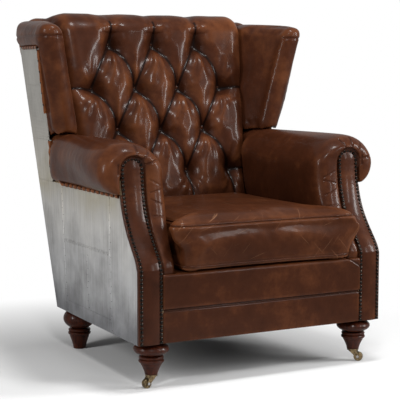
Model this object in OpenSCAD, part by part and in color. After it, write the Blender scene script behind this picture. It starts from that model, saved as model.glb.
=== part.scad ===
/* [Overall] */
// Height of the crest of the back above the floor
crest_h = 1070; // [1050:1:1110]
// Height of the body's lower edge above the floor
base_h = 131; // [120:1:145]
// Depth of the body along its lower edge
body_depth = 651; // [600:1:700]
// Backward run of the back for each millimetre of height
rake = 0.245; // [0.18:0.005:0.28]
// Distance from the front of the tufted back to the rear panel
back_thick = 131.6; // [125:1:150]

/* [Seat] */
// Height of the seam between the two front borders
border_seam_h = 223; // [205:1:240]
// Height of the seat deck, where the cushion lies
deck_h = 327.7; // [318:1:340]
// Height of the top of the wooden rails
rail_top_h = 288; // [270:1:292]
// Height of the cushion at its top seam
cushion_seam_h = 128; // [100:1:140]
// Rise of the cushion's crown above its top seam
cushion_crown = 34; // [15:1:42]
// Reach of the cushion in front of the arm fronts
cushion_reach = 28; // [10:1:40]
// How far the cushion's front and back draw in between its corners
cushion_draw = 7; // [0:0.5:12]
// Half width of the cushion in front of the arms
cushion_front_half = 315; // [290:1:322]
// How far the loose cushion's front lies off to the right
cushion_shift = 5; // [0:1:12]
// How far the cushion's lower left corner is tucked in
cushion_tuck = 45; // [0:1:55]

/* [Arms] */
// Half the width between the arms at the seat
arm_inner = 285; // [270:1:300]
// How far an arm's padding swells in over the seat
arm_bulge = 24; // [10:1:32]
// Thickness of the padded inner wall of an arm at the seat
arm_wall = 58.7; // [50:0.5:66]
// Height of the axis of an arm's roll
roll_h = 610; // [585:1:640]
// Radius of an arm's roll
roll_r = 80; // [72:1:86]
// Distance of the roll's axis from the inner face of the arm
roll_offset = 101; // [92:1:106]
// How far the arm's front sweeps back on the way up
sweep = 122; // [60:1:140]
// Height at which the sweep starts
sweep_start_h = 340; // [320:1:380]
// Width of the leather strip on an arm's front
strip_w = 71; // [60:1:72]
// Distance from the arm's inner face to the strip
strip_offset = 45.5; // [40:0.5:52]
// Spacing of the nails along the strip
nail_pitch = 11.2; // [9:0.1:20]
// Diameter of a nail head
nail_d = 9.8; // [6:0.1:10.4]

/* [Sides and wings] */
// Half width of the body at its front
side_front_x = 404; // [400:1:425]
// Half width of the body at its lower back corner
side_back_x = 384; // [370:1:404]
// Outward lean of the back corner for each millimetre of height
side_lean = 0.0456; // [0:0.005:0.08]
// Outward flare of the wing's front edge at its top
wing_flare = 44; // [0:1:60]
// Radius of the wing's front roll
wing_roll_r = 37; // [28:1:40]
// Height of the wing's top at its front
wing_top_h = 1030; // [1010:1:1040]
// Rise of the wing's top towards the back
wing_rise = 17; // [0:1:22]
// Height of the top of the metal panels
panel_top_h = 959; // [940:1:970]
// Thickness of the metal sheet
sheet_t = 2; // [1:0.25:3]
// How far the leather roll along the top stands out from the metal
top_bulge = 14; // [8:1:26]

/* [Back] */
// Spacing of the buttons in a row
button_pitch = 157; // [130:1:160]
// Height between rows of buttons
row_pitch = 135; // [110:1:140]
// Height of the top row of buttons
button_top_h = 965; // [950:1:975]
// Depth of the tufting from fold to crown
puff = 26; // [10:1:32]
// Radius of a button
button_r = 10; // [7:0.5:13]

/* [Legs and casters] */
// Distance of a front leg's axis from the middle
front_leg_x = 344; // [335:1:352]
// Distance of a front leg's axis behind the arm's front
front_leg_y = 48; // [40:1:60]
// Distance of a rear leg's axis from the middle
rear_leg_x = 327; // [315:1:335]
// Distance of a rear leg's axis behind the arm's front
rear_leg_y = 605; // [590:1:612]
// Diameter of the turned ball of a leg
leg_ball_d = 102; // [80:1:110]
// Height of the end of the wood on a front leg
caster_h = 38; // [36:0.5:46]
// Diameter of a caster wheel
wheel_d = 28; // [24:0.5:30]
// Width of a caster wheel
wheel_w = 14; // [10:0.5:18]
// Distance of the wheel's axle from the swivel's axis
trail = 17; // [12:0.5:24]
// Direction in which the left caster trails
caster_turn_left = 194; // [0:1:360]
// Direction in which the right caster trails
caster_turn_right = 314; // [0:1:360]

/* [Hidden] */

$fn = 48;
// Gap between neighbours that touch on the chair
seat_gap = 0.3;
// Overrun of every cut
overrun = 4;
// Radial clearance of a running fit
run_fit = 0.05;
// Thickness of the leather on a board
leather_t = 4;
// Thickness of a wooden rail
rail_t = 32;
// Thickness of a dust cover or insulator sheet
cloth_t = 1.2;
// Colours
leather_dark = [0.33, 0.17, 0.10];
leather_warm = [0.47, 0.22, 0.11];
metal = [0.62, 0.62, 0.60];
beech = [0.78, 0.62, 0.42];
mahogany = [0.17, 0.07, 0.05];
brass = [0.55, 0.42, 0.20];
steel = [0.45, 0.45, 0.47];
cloth = [0.12, 0.12, 0.12];

// Lower face of the wooden frame, above the dust cover
frame_h = base_h + cloth_t + 2 * seat_gap;
// Front face of the wooden frame, behind the leather
frame_y = leather_t + seat_gap;

// Rear face of the chair and front face of the tufted back at a height
function back_y(z) = body_depth + rake * (z - base_h);
function pad_y(z) = back_y(z) - back_thick;

// Layers of the back, measured from the front of the pad
post_depth = 47;
post_start = back_thick - sheet_t - seat_gap - post_depth;
web_t = 2.7;
web_start = post_start - web_t - seat_gap;
pad_thick = web_start - seat_gap;

// Half width of the tufted pad: it widens with height
pad_half_low = 301;
pad_half_low_h = 647;
pad_lean = 0.0909;
function pad_half(z) = pad_half_low + pad_lean * (z - pad_half_low_h);

// Outer face of the body's side at a depth and a height
wing_low_h = 667;
wing_low_y = 642;
wing_step = 57;
function wing_share(z) = max(0, (z - wing_low_h) / (panel_top_h - wing_low_h));
function wing_edge_y(z) = wing_low_y - wing_step * wing_share(z);
function side_corner_x(z) = side_back_x + side_lean * (z - base_h);
function side_flare(y, z) = wing_flare * wing_share(z)
    * max(0, (back_y(z) - y) / (back_y(z) - wing_edge_y(z)));
function side_x(y, z) = side_front_x + (side_corner_x(z) - side_front_x) * y / back_y(z)
    + side_flare(y, z);

// Front of an arm: upright at the foot, then sweeping back in a soft S
sweep_rate_share = 0.4;
sweep_power = 1.5;
function sweep_share(z) = max(0, z - sweep_start_h) / (roll_h - sweep_start_h);
function front_y(z) = sweep * (1 - exp(-pow(sweep_share(z) / sweep_rate_share, sweep_power)));
sweep_steps = 22;
sweep_top = roll_h + 1.5 * roll_r;
function sweep_z(i) = sweep_start_h + (sweep_top - sweep_start_h) * i / sweep_steps;
function sweep_line(offset, low) = concat([[front_y(low) + offset, low]],
    [for (i = [0:sweep_steps]) if (sweep_z(i) > low) [front_y(sweep_z(i)) + offset, sweep_z(i)]]);

// Front of the arm as the strip and the padding follow it, step by step
sweep_table = [for (p = sweep_line(0, base_h)) [p[1], p[0]]];
function front_at(z) = lookup(z, sweep_table);

// Half width between the arms at a height: the padding swells over the seat
swell_h = 520;
function arm_in(z) = arm_inner
    - arm_bulge * (1 - cos(180 * max(0, min(1, (z - deck_h) / (swell_h - deck_h))))) / 2;

roll_x = arm_inner + roll_offset;
// Inner shoulder of the arm, rounded like the roll and a little lower
shoulder_drop = 8;
shoulder_x = arm_inner - arm_bulge + roll_r;
shoulder_h = roll_h - shoulder_drop;
strip_in = arm_inner + strip_offset;
strip_out = strip_in + strip_w;
strip_mid = strip_in + strip_w / 2;
post_in = arm_inner + arm_wall + seat_gap;
front_block_d = 96;
post_out = side_x(frame_y + front_block_d, base_h) - sheet_t - 2 * seat_gap;
// Height at which the underside of the roll meets the top of the arm rail
arm_cut_h = roll_h - roll_r + 6;
// Setback of the metal from the arm's front
panel_setback = 13;
// Distance of the roll's lower edge outside its axis
roll_edge = 27;
roll_foot_angle = -45;

// Corner of the arm at its rear end, where the roll has run out to the flush side
rear_corner_r = 36;
rear_corner_x = roll_x + roll_edge - rear_corner_r;
rear_corner_h = roll_h + roll_r - rear_corner_r;
// Depth where the roll starts to run out, and the leather's rear edge outside the arm
taper_from = sweep + roll_r / 4;
arm_leather_y = 629;
function arm_taper(y) = (1 - cos(180 * max(0, min(1, (y - taper_from) / (arm_leather_y - taper_from))))) / 2;

// How far the padded edge round the strip stands forward, less at the seat
ring_bulge = 15;
ring_bulge_low = 5;
function ring_swell(z) = mix(ring_bulge_low, ring_bulge, max(0, min(1, (z - deck_h) / (swell_h - deck_h))));

// Outline of an arm in width and height, from the roll's lower edge over the top to the seat
arm_steps = 8;
function arm_outline(low, grow, taper = 0) = concat(
    [[roll_x + roll_edge, arm_cut_h - grow]],
    arc([mix(roll_x, rear_corner_x, taper), mix(roll_h, rear_corner_h, taper)],
        mix(roll_r, rear_corner_r, taper) + grow, mix(roll_foot_angle, 0, taper), 90, arm_steps),
    arc([shoulder_x, shoulder_h], roll_r + grow, 90, 180, arm_steps),
    [for (i = [sweep_steps:-1:0]) let (z = sweep_z(i)) if (z < shoulder_h) [arm_in(z) - grow, z]],
    [[arm_inner - grow, low]]
);

// Part of an outline: an arc about a centre, from one angle to another
function arc(c, r, from, to, n) = [for (i = [0:n]) let (a = from + (to - from) * i / n)
    [c[0] + r * cos(a), c[1] + r * sin(a)]];
function mean(list) = [for (k = [0:2]) sum([for (p = list) p[k]]) / len(list)];
function sum(v, i = 0) = i < len(v) ? v[i] + sum(v, i + 1) : 0;
function mix(a, b, t) = a + (b - a) * t;

// Rear reach of the leather roll along the top, and the middle of the part's depth
crest_rise = 70;
crest_mid_h = crest_h - crest_rise;
// Crown of the tufting, as a share of the puff, and its reach in front of the pad's plane
crown_share = 1.15;
fold_depth = 2;
pad_reach = crown_share * puff - fold_depth + seat_gap;
pad_top_h = crest_mid_h + 5;
crest_lap = 3;
crest_front_y = pad_y(pad_top_h) + fold_depth - puff;
crest_half_d = (back_y(crest_mid_h) + top_bulge - crest_lap - crest_front_y) / 2;
crest_y = crest_front_y + crest_half_d;
middle_y = (crest_y + crest_half_d - cushion_reach) / 2;

// Places a piece drawn for the right side on either side
module placed(side = 1) {
    translate([0, -middle_y, 0])
    if (side > 0) {
        children();
    } else {
        mirror([1, 0, 0]) children();
    }
}

// Closed skin over a list of equal rings, each end closed by a fan from its hub
module skin(rings, hub_a, hub_b) {
    n = len(rings[0]);
    m = len(rings);
    points = concat([for (ring = rings) each ring], [hub_a, hub_b]);
    sides = [for (i = [0:m - 2], j = [0:n - 1]) let (k = (j + 1) % n)
        each [[i * n + j, i * n + k, (i + 1) * n + j], [i * n + k, (i + 1) * n + k, (i + 1) * n + j]]];
    low = [for (j = [0:n - 1]) [(j + 1) % n, j, m * n]];
    high = [for (j = [0:n - 1]) [(m - 1) * n + j, (m - 1) * n + (j + 1) % n, m * n + 1]];
    polyhedron(points = points, faces = concat(sides, low, high));
}

// Straight run along X of an outline drawn in depth and height
module along_x(from, to, points) {
    translate([from, 0, 0])
    rotate([90, 0, 90])
    linear_extrude(to - from)
    polygon(points);
}

// Run along Y of an outline drawn in width and height
module along_y(from, to) {
    translate([0, to, 0])
    rotate([90, 0, 0])
    linear_extrude(to - from)
    children();
}

module scale_side(s) {
    if (s > 0) {
        children();
    } else {
        mirror([1, 0, 0]) children();
    }
}

// Wooden frame

block_w = 86;
block_in = post_out - block_w;
rear_block_y = rear_leg_y - 50;
bolt_d = 8;
bolt_len = 100;
bolt_h = base_h - bolt_len / 2;

module corner_blocks() {
    color(beech) placed() for (s = [-1, 1]) scale_side(s) {
        difference() {
            translate([block_in, frame_y, frame_h])
            cube([post_out - block_in, front_block_d, rail_top_h - frame_h]);
            bolt_hole(front_leg_x, front_leg_y);
        }
        difference() {
            along_x(block_in - 20, side_x(body_depth, base_h) - sheet_t - 2 * seat_gap, [
                [rear_block_y, frame_h],
                [back_y(frame_h) - sheet_t - 2 * seat_gap, frame_h],
                [back_y(rail_top_h) - sheet_t - 2 * seat_gap, rail_top_h],
                [rear_block_y, rail_top_h],
            ]);
            bolt_hole(rear_leg_x, rear_leg_y);
        }
    }
}

module bolt_hole(x, y) {
    translate([x, y, frame_h - overrun])
    cylinder(d = bolt_d + 2 * run_fit, h = bolt_len / 2 + overrun + seat_gap);
}

module seat_rail_front() {
    color(beech) placed()
    translate([seat_gap - block_in, frame_y, frame_h])
    cube([2 * (block_in - seat_gap), rail_t, rail_top_h - frame_h]);
}

module seat_rail_back() {
    half = block_in - 20 - seat_gap;
    color(beech) placed()
    translate([-half, rear_block_y + rail_t, frame_h])
    cube([2 * half, rail_t, rail_top_h - frame_h]);
}

module seat_rail(side) {
    y0 = frame_y + front_block_d + seat_gap;
    y1 = rear_block_y - seat_gap;
    inset = sheet_t + 2 * seat_gap;
    color(beech) placed(side)
    translate([0, 0, frame_h])
    linear_extrude(rail_top_h - frame_h)
    polygon([
        [side_x(y0, base_h) - inset, y0],
        [side_x(y1, base_h) - inset, y1],
        [side_x(y1, base_h) - inset - rail_t, y1],
        [side_x(y0, base_h) - inset - rail_t, y0],
    ]);
}

module seat_rail_left() { seat_rail(-1); }
module seat_rail_right() { seat_rail(1); }

// Post behind the arm's front: sawn to the sweep, its head rounded inside the roll
arm_post_d = 44;
arm_post_top = roll_h - 10;

module post_shape(grow) {
    line = [for (p = sweep_line(0, rail_top_h + seat_gap)) if (p[1] < arm_post_top) p];
    back = [for (i = [len(line) - 1:-1:0]) [line[i][0] + frame_y + arm_post_d + grow, line[i][1]]];
    front = [for (p = line) [p[0] + frame_y - grow, p[1]]];
    along_x(post_in - grow, post_out + grow, concat(front, back));
}

module arm_post(side) {
    color(beech) placed(side) post_shape(0);
}

module arm_post_left() { arm_post(-1); }
module arm_post_right() { arm_post(1); }

arm_rail_h = 54;

module arm_rail(side) {
    top = arm_cut_h - seat_gap;
    low = top - arm_rail_h;
    start = frame_y + arm_post_d + seat_gap;
    end = web_start - seat_gap;
    outer = min(side_x(front_y(low) + start, low), side_x(pad_y(low) + end, low));
    color(beech) placed(side)
    along_x(post_in, outer - sheet_t - 2 * seat_gap, [
        [front_y(top) + start, low],
        [pad_y(low) + end, low],
        [pad_y(top) + end, top],
        [front_y(top) + start, top],
    ]);
}

module arm_rail_left() { arm_rail(-1); }
module arm_rail_right() { arm_rail(1); }

back_post_w = 44;
function post_outer(z, s) = side_x(pad_y(z) + s, z) - sheet_t - 2 * seat_gap;

module back_post(side) {
    low = rail_top_h + seat_gap;
    high = panel_top_h - seat_gap;
    rings = [for (z = [low, wing_low_h, (wing_low_h + high) / 2, high]) [
        [post_outer(z, post_start + post_depth) - back_post_w, pad_y(z) + post_start, z],
        [post_outer(z, post_start + post_depth), pad_y(z) + post_start, z],
        [post_outer(z, post_start + post_depth), pad_y(z) + post_start + post_depth, z],
        [post_outer(z, post_start + post_depth) - back_post_w, pad_y(z) + post_start + post_depth, z],
    ]];
    color(beech) placed(side) skin(rings, mean(rings[0]), mean(rings[3]));
}

module back_post_left() { back_post(-1); }
module back_post_right() { back_post(1); }

module back_rail(low, high) {
    half = post_outer(low, post_start + post_depth) - back_post_w - seat_gap;
    color(beech) placed()
    along_x(-half, half, [
        [pad_y(low) + post_start, low],
        [pad_y(low) + post_start + post_depth, low],
        [pad_y(high) + post_start + post_depth, high],
        [pad_y(high) + post_start, high],
    ]);
}

back_rail_h = 66;
module back_rail_top() { back_rail(panel_top_h - seat_gap - back_rail_h, panel_top_h - seat_gap); }
module back_rail_lower() { back_rail(deck_h, deck_h + back_rail_h); }

board_t = 18;
board_setback = 10;
// Room beside a twisted face, and the heights that all twisted faces share
twist_gap = 0.6;
twist_steps = 24;
function twist_levels(low, high) = concat([low], [for (i = [0:twist_steps]) let (
    z = mix(wing_low_h, panel_top_h, i / twist_steps)
) if (z > low + twist_gap && z < high - twist_gap) z], [high]);

module wing_board(side) {
    low = roll_h + roll_r + 5;
    high = panel_top_h - seat_gap;
    inset = sheet_t + seat_gap + twist_gap;
    rings = [for (z = twist_levels(low, high)) let (
        y0 = wing_edge_y(z) + board_setback, y1 = pad_y(z) + post_start - seat_gap
    ) [
        [side_x(y0, z) - inset - board_t, y0, z],
        [side_x(y0, z) - inset, y0, z],
        [side_x(y1, z) - inset, y1, z],
        [side_x(y1, z) - inset - board_t, y1, z],
    ]];
    color(beech) placed(side) skin(rings, mean(rings[0]), mean(rings[len(rings) - 1]));
}

module wing_board_left() { wing_board(-1); }
module wing_board_right() { wing_board(1); }

// Springs, webbing and deck

wire_d = 4;
spring_count = 6;
spring_margin = 52;
spring_half = arm_inner - spring_margin;
spring_w = 44;
spring_bends = 24;
spring_from = frame_y + rail_t / 2;
spring_to = rear_block_y + 1.5 * rail_t;
spring_h = rail_top_h + seat_gap;

// Flat zigzag of a wire spring, drawn along Y
module zigzag() {
    step = (spring_to - spring_from) / spring_bends;
    middle = [for (i = [0:spring_bends]) [(i % 2 == 0 ? -1 : 1) * spring_w / 2, spring_from + i * step]];
    wide = wire_d / 2 * norm([spring_w, step]) / step;
    linear_extrude(wire_d)
    polygon(concat(
        [for (p = middle) [p[0] + wide, p[1]]],
        [for (i = [spring_bends:-1:0]) [middle[i][0] - wide, middle[i][1]]]
    ));
}

function spring_x(i) = -spring_half + 2 * spring_half * i / (spring_count - 1);

module seat_springs() {
    color(steel) placed()
    for (i = [0:spring_count - 1]) {
        translate([spring_x(i), 0, spring_h]) zigzag();
    }
}

clip_w = 10;
clip_t = 1.5;

// Clip that holds an end of a spring down on its rail
module spring_clips() {
    low = spring_h;
    high = spring_h + wire_d + seat_gap + clip_t;
    color(steel) placed()
    for (i = [0:spring_count - 1], end = [0, 1]) {
        y = end == 0 ? spring_from - 3 * wire_d : spring_to + 2 * wire_d;
        x = spring_x(i) - spring_w / 2 - clip_w / 2;
        translate([x, y, low]) cube([clip_w, wire_d, high - low]);
        translate([x, end == 0 ? y : y - 2 * wire_d, high - clip_t]) cube([clip_w, 3 * wire_d, clip_t]);
    }
}

insulator_h = spring_h + wire_d + clip_t + 2 * seat_gap;

module seat_insulator() {
    color(cloth) placed()
    translate([seat_gap - arm_inner, frame_y + rail_t / 3, insulator_h])
    cube([2 * (arm_inner - seat_gap), rear_block_y + rail_t - frame_y, cloth_t]);
}

deck_low_h = insulator_h + cloth_t + seat_gap;
lip_d = 95;

module seat_deck() {
    color(cloth) placed()
    along_x(seat_gap - arm_inner, arm_inner - seat_gap, [
        [lip_d + seat_gap, deck_low_h],
        [pad_y(deck_low_h) - seat_gap, deck_low_h],
        [pad_y(deck_h) - seat_gap, deck_h],
        [lip_d + seat_gap, deck_h],
    ]);
}

web_w = 60;
web_count = 5;

module back_webbing() {
    color(cloth) placed()
    for (i = [0:web_count - 1]) {
        z = mix(deck_h + back_rail_h / 2 + web_w, panel_top_h - back_rail_h - web_w, i / (web_count - 1));
        half = post_outer(z, post_start) - back_post_w / 2;
        along_x(-half, half, [
            [pad_y(z) + web_start, z],
            [pad_y(z) + web_start + web_t, z],
            [pad_y(z + web_w) + web_start + web_t, z + web_w],
            [pad_y(z + web_w) + web_start, z + web_w],
        ]);
    }
}

leg_neck_r = 35;

module dust_cover() {
    inset = sheet_t + 6;
    y0 = frame_y + 2;
    y1 = body_depth - inset;
    color(cloth) placed()
    translate([0, 0, base_h + seat_gap])
    linear_extrude(cloth_t)
    difference() {
        polygon([
            [-side_x(y0, base_h) + inset, y0], [side_x(y0, base_h) - inset, y0],
            [side_x(y1, base_h) - inset, y1], [-side_x(y1, base_h) + inset, y1],
        ]);
        for (s = [-1, 1]) {
            translate([s * front_leg_x, front_leg_y]) circle(leg_neck_r + 1);
            translate([s * rear_leg_x, rear_leg_y]) circle(leg_neck_r + 1);
        }
    }
}

// Front borders below the cushion

border_front = 1;
lip_front = 5;
lip_r = 9;

edge_r = 2;

module border_lower() {
    half = strip_in - seat_gap;
    color(leather_warm) placed()
    along_x(-half, half, concat(
        [[leather_t, border_seam_h - seat_gap], [leather_t, base_h]],
        arc([edge_r - border_front, base_h + edge_r], edge_r, 270, 180, 3),
        arc([edge_r - border_front, border_seam_h - seat_gap - edge_r], edge_r, 180, 90, 3)
    ));
}

module border_upper() {
    half = strip_in - seat_gap;
    inner = arm_inner - seat_gap;
    front = concat(
        arc([lip_r - lip_front, border_seam_h + lip_r], lip_r, 270, 180, 5),
        arc([lip_r - lip_front, deck_h - lip_r], lip_r, 180, 90, 5)
    );
    color(leather_warm) placed() {
        along_x(-half, half, concat(front, [[leather_t, deck_h], [leather_t, border_seam_h]]));
        along_x(-inner, inner, [
            [leather_t - 1, deck_low_h], [lip_d, deck_low_h], [lip_d, deck_h], [leather_t - 1, deck_h],
        ]);
    }
}

// Loose seat cushion: boxed, crowned, its sides drawn in between the corners

cushion_low_h = deck_h + seat_gap;
cushion_side_gap = 4;
cushion_front_gap = 9;
cushion_corner = 38;
cushion_rear_corner = 26;
cushion_side_points = 12;
cushion_front_points = 8;
cushion_corner_points = 4;
cushion_band = 9;
cushion_flare_d = 34;

cushion_spread = 8;

// Half width of the cushion to one side at a depth and a height: wider in front of the arms
function cushion_edge(s, y, z) = let (
    share = z / cushion_seam_h,
    body = arm_in(cushion_low_h + z) - cushion_side_gap,
    front = s > 0 ? cushion_front_half + cushion_shift + cushion_spread * (1 - share)
        : cushion_front_half - cushion_shift - cushion_tuck * pow(1 - share, 1.6),
    clear = front_at(cushion_low_h + z) - ring_swell(cushion_low_h + z) - cushion_front_gap,
    t = max(0, min(1, (clear - y) / mix(cushion_flare_d / 2, cushion_flare_d, share)))
) body + (front - body) * (1 - cos(180 * t)) / 2;

// Outline of the cushion at a height, shrunk by an inset, as points in the plane
function cushion_side(s, y, z, inset) = [s * (cushion_edge(s, y, z) - inset), y];
function cushion_ring(z, inset, lift) = let (
    y0 = inset - cushion_reach,
    y1 = pad_y(cushion_low_h + z) - pad_reach - inset,
    r = max(cushion_corner - inset, cushion_band / 2),
    q = max(cushion_rear_corner - inset, cushion_band / 2),
    fr = cushion_side(1, y0 + r, z, inset),
    fl = cushion_side(-1, y0 + r, z, inset),
    br = cushion_side(1, y1 - q, z, inset),
    bl = cushion_side(-1, y1 - q, z, inset),
    flat = concat(
        arc([fr[0] - r, y0 + r], r, -90, 0, cushion_corner_points),
        [for (i = [1:cushion_side_points - 1])
            cushion_side(1, mix(y0 + r, y1 - q, pow(i / cushion_side_points, 1.6)), z, inset)],
        arc([br[0] - q, y1 - q], q, 0, 90, cushion_corner_points),
        [for (i = [1:cushion_front_points - 1]) let (t = i / cushion_front_points)
            [mix(br[0] - q, bl[0] + q, t), y1 - cushion_draw * sin(180 * t)]],
        arc([bl[0] + q, y1 - q], q, 90, 180, cushion_corner_points),
        [for (i = [cushion_side_points - 1:-1:1])
            cushion_side(-1, mix(y0 + r, y1 - q, pow(i / cushion_side_points, 1.6)), z, inset)],
        arc([fl[0] + r, y0 + r], r, 180, 270, cushion_corner_points),
        [for (i = [1:cushion_front_points - 1]) let (t = i / cushion_front_points)
            [mix(fl[0] + r, fr[0] - r, t), y0 + cushion_draw * sin(180 * t)]]
    )
) [for (p = flat) [p[0], p[1], z + lift]];

// Boxing of the cushion from its lower to its upper seam: height, inset and softness
boxing_shares = [[0, 1, 0], [0.025, 0.1, 0.2], [0.05, 0, 0], [0.13, 0, 0.8], [0.3, 0, 0.2], [0.5, 0, 0],
    [0.7, 0, 0.2], [0.88, 0, 0.8], [0.95, 0, 0], [1, 0, 0.2]];
boxing_bulge = 5;

module seat_cushion() {
    top = cushion_seam_h;
    middle = arm_in(cushion_low_h + top) - cushion_side_gap;
    band = [for (l = boxing_shares) cushion_ring(l[0] * top, l[1] * cushion_band + l[2] * boxing_bulge, 0)];
    crown = [for (i = [1:6]) let (t = i / 7) cushion_ring(
        top, boxing_bulge / 5 + 0.84 * middle * pow(t, 1.5),
        cushion_crown * pow(sin(90 * min(1, 1.12 * t)), 0.75)
    )];
    rings = concat(band, crown);
    last = rings[len(rings) - 1];
    color(leather_warm) placed()
    translate([0, 0, cushion_low_h])
    skin(rings, mean(rings[0]), mean(last));
}

// Tufted back: diamonds between sunken buttons

half_pitch = button_pitch / 2;
grid = 4;
rows = 4;

function button_row_x(row) = row % 2 == 0 ? [-2, 0, 2] : [-3, -1, 1, 3];
function row_h(row) = button_top_h - row * row_pitch;
button_places = [for (row = [0:rows - 1], k = button_row_x(row)) [k * half_pitch, row_h(row)]];

// Folds of the tufting as lines from point to point
fold_lines = concat(
    [for (row = [0:rows - 2], k = button_row_x(row), s = [-1, 1]) if (abs(k + s) <= 3)
        [[k * half_pitch, row_h(row)], [(k + s) * half_pitch, row_h(row + 1)]]],
    [for (k = button_row_x(0)) [[k * half_pitch, row_h(0)], [k * half_pitch, crest_h]]],
    [for (k = button_row_x(rows - 1))
        [[k * half_pitch, row_h(rows - 1)], [k * half_pitch, row_h(rows - 1) - 2 * row_pitch]]],
    [for (row = [1, 3], s = [-1, 1])
        [[s * 3 * half_pitch, row_h(row)], [s * 2 * pad_half(row_h(row)), row_h(row)]]]
);
function line_gap(p, a, b) = let (
    d = b - a, t = max(0, min(1, ((p - a) * d) / (d * d)))
) norm(p - a - t * d);
function fold_gap(x, z) = min([for (l = fold_lines) line_gap([x, z], l[0], l[1])]);
fold_w = 30;
smooth_h = 515;

// Share of the full puff at a point: none in a fold, all between folds
function puff_share(x, z) = let (
    open = 1 - exp(-pow(fold_gap(x, z) / fold_w, 1.1)),
    low = max(0, min(1, (z - smooth_h + 45) / 45)),
    edge = min(1, (pad_half(z) - abs(x)) / 26 + 0.25)
) mix(fold_depth / puff, open * edge * crown_share, low);

pad_low_h = deck_low_h;
row_step = row_pitch / grid;
rows_below = floor((button_top_h - pad_low_h) / row_step);
pad_levels = concat([pad_low_h], [for (i = [-rows_below:1]) button_top_h + i * row_step], [pad_top_h]);
pad_columns = 17;
function pad_xs(z) = concat([-pad_half(z) + seat_gap],
    [for (i = [-pad_columns + 1:pad_columns - 1]) let (x = i * half_pitch / grid)
        if (abs(x) < pad_half(pad_low_h) - 6) x * (abs(x) > 3 * half_pitch
            ? (pad_half(z) + pad_half(pad_low_h)) / 2 / pad_half(pad_low_h) : 1)],
    [pad_half(z) - seat_gap]);

level_margin = 4;

module back_pad() {
    levels = [for (i = [0:len(pad_levels) - 1]) if (i == 0 || i == len(pad_levels) - 1
        || (pad_levels[i] < pad_top_h - level_margin
            && pad_levels[i] > pad_low_h + level_margin)) pad_levels[i]];
    m = len(levels);
    rings = [for (i = [0:m - 1]) let (
        z = levels[i], xs = pad_xs(z), rim = i == m - 1
    ) concat(
        [for (x = xs) [x, pad_y(z) + fold_depth - puff * (rim ? 1 : puff_share(x, z)), z]],
        [for (s = [1, -1]) [s * (pad_half(z) - seat_gap), pad_y(z) + pad_thick, z]]
    )];
    n = len(rings[0]);
    points = concat([for (ring = rings) each ring], [
        [0, pad_y(pad_low_h) + pad_thick / 2, pad_low_h], [0, pad_y(pad_top_h) + pad_thick / 2, pad_top_h],
    ]);
    // Each square is split along its lower diagonal, so that folds stay sharp
    sides = [for (i = [0:m - 2], j = [0:n - 1]) let (
        k = (j + 1) % n, a = i * n + j, b = i * n + k, c = (i + 1) * n + k, d = (i + 1) * n + j,
        rise = rings[i][j][1] - pad_y(levels[i]) + rings[i + 1][k][1] - pad_y(levels[i + 1]),
        fall = rings[i][k][1] - pad_y(levels[i]) + rings[i + 1][j][1] - pad_y(levels[i + 1])
    ) each (rise > fall ? [[a, b, c], [a, c, d]] : [[a, b, d], [b, c, d]])];
    low = [for (j = [0:n - 1]) [(j + 1) % n, j, m * n]];
    high = [for (j = [0:n - 1]) [(m - 1) * n + j, (m - 1) * n + (j + 1) % n, m * n + 1]];
    color(leather_dark) placed() difference() {
        polyhedron(points = points, faces = [for (f = concat(sides, low, high)) [f[2], f[1], f[0]]]);
        for (p = button_places) {
            button_frame(p) cylinder(r = button_r + seat_gap, h = 3 * puff);
        }
    }
}

button_sink = 2;

// Frame of a button: its axis stands square on the back and points forward
module button_frame(p) {
    translate([p[0], pad_y(p[1]) + fold_depth + button_sink, p[1]])
    rotate([90 - atan(rake), 0, 0])
    children();
}

button_dome = 7;

module back_buttons() {
    color(leather_dark) placed()
    for (p = button_places) {
        button_frame(p)
        translate([0, 0, seat_gap])
        rotate_extrude()
        polygon(concat([[0, 0], [button_r - 1, 0]], [for (a = [0:15:90])
            [button_r * cos(a), 2 + (button_dome - 2) * sin(a)]]));
    }
}

// Leather roll over the top rail, arched and rounded at its ends
crest_steps = 12;
crest_from = 176;
crest_to = -35;

function crest_line(z_scale) = concat(
    [
        [pad_y(panel_top_h + seat_gap) + pad_thick + seat_gap, panel_top_h + seat_gap],
        [pad_y(pad_top_h + seat_gap) + pad_thick + seat_gap, pad_top_h + seat_gap],
        [crest_front_y, pad_top_h + seat_gap],
    ],
    [for (i = [1:crest_steps]) let (a = mix(crest_from, crest_to, i / crest_steps))
        [crest_y + crest_half_d * cos(a), max(crest_mid_h + crest_rise * z_scale * sin(a),
            i < crest_steps / 2 ? pad_top_h + 2 * seat_gap : panel_top_h + 2 * seat_gap)]],
    [[back_y(panel_top_h) + crest_lap, panel_top_h + seat_gap]]
);

crest_stations = [-1, -0.985, -0.95, -0.85, -0.6, -0.3, 0, 0.3, 0.6, 0.85, 0.95, 0.985, 1];

module top_roll() {
    rings = [for (u = crest_stations) [for (p = crest_line(1 - 0.03 * u * u - 0.1 * pow(u, 24)))
        [u * (pad_half(p[1]) - seat_gap), p[0], p[1]]]];
    hub = [crest_y, mix(crest_mid_h, pad_top_h, 2)];
    end = pad_half(hub[1]) - seat_gap;
    color(leather_dark) placed()
    skin([for (i = [len(rings) - 1:-1:0]) rings[i]], [end, hub[0], hub[1]], [-end, hub[0], hub[1]]);
}

// Padded wing: front roll, inner face and the roll along its top

wing_from_h = 645;
wing_mid_h = 680;
wing_lean_x = 67 / 320;
wing_lean_y = 40 / 320;
wing_wrap_from = 30;
wing_wrap_to = -190;
wing_wrap_steps = 11;
wing_inset = 19;
wing_mid_x = roll_x - wing_inset;
wing_mid_y = wing_low_y - 42;
function wing_roll_x(z) = wing_mid_x + wing_lean_x * (z - wing_mid_h);
function wing_roll_y(z) = wing_mid_y - wing_lean_y * (z - wing_mid_h);

// Outline of the wing at a height: up is 0 beside the metal and 1 above it
wing_edge_bulge_share = 0.2;

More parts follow.
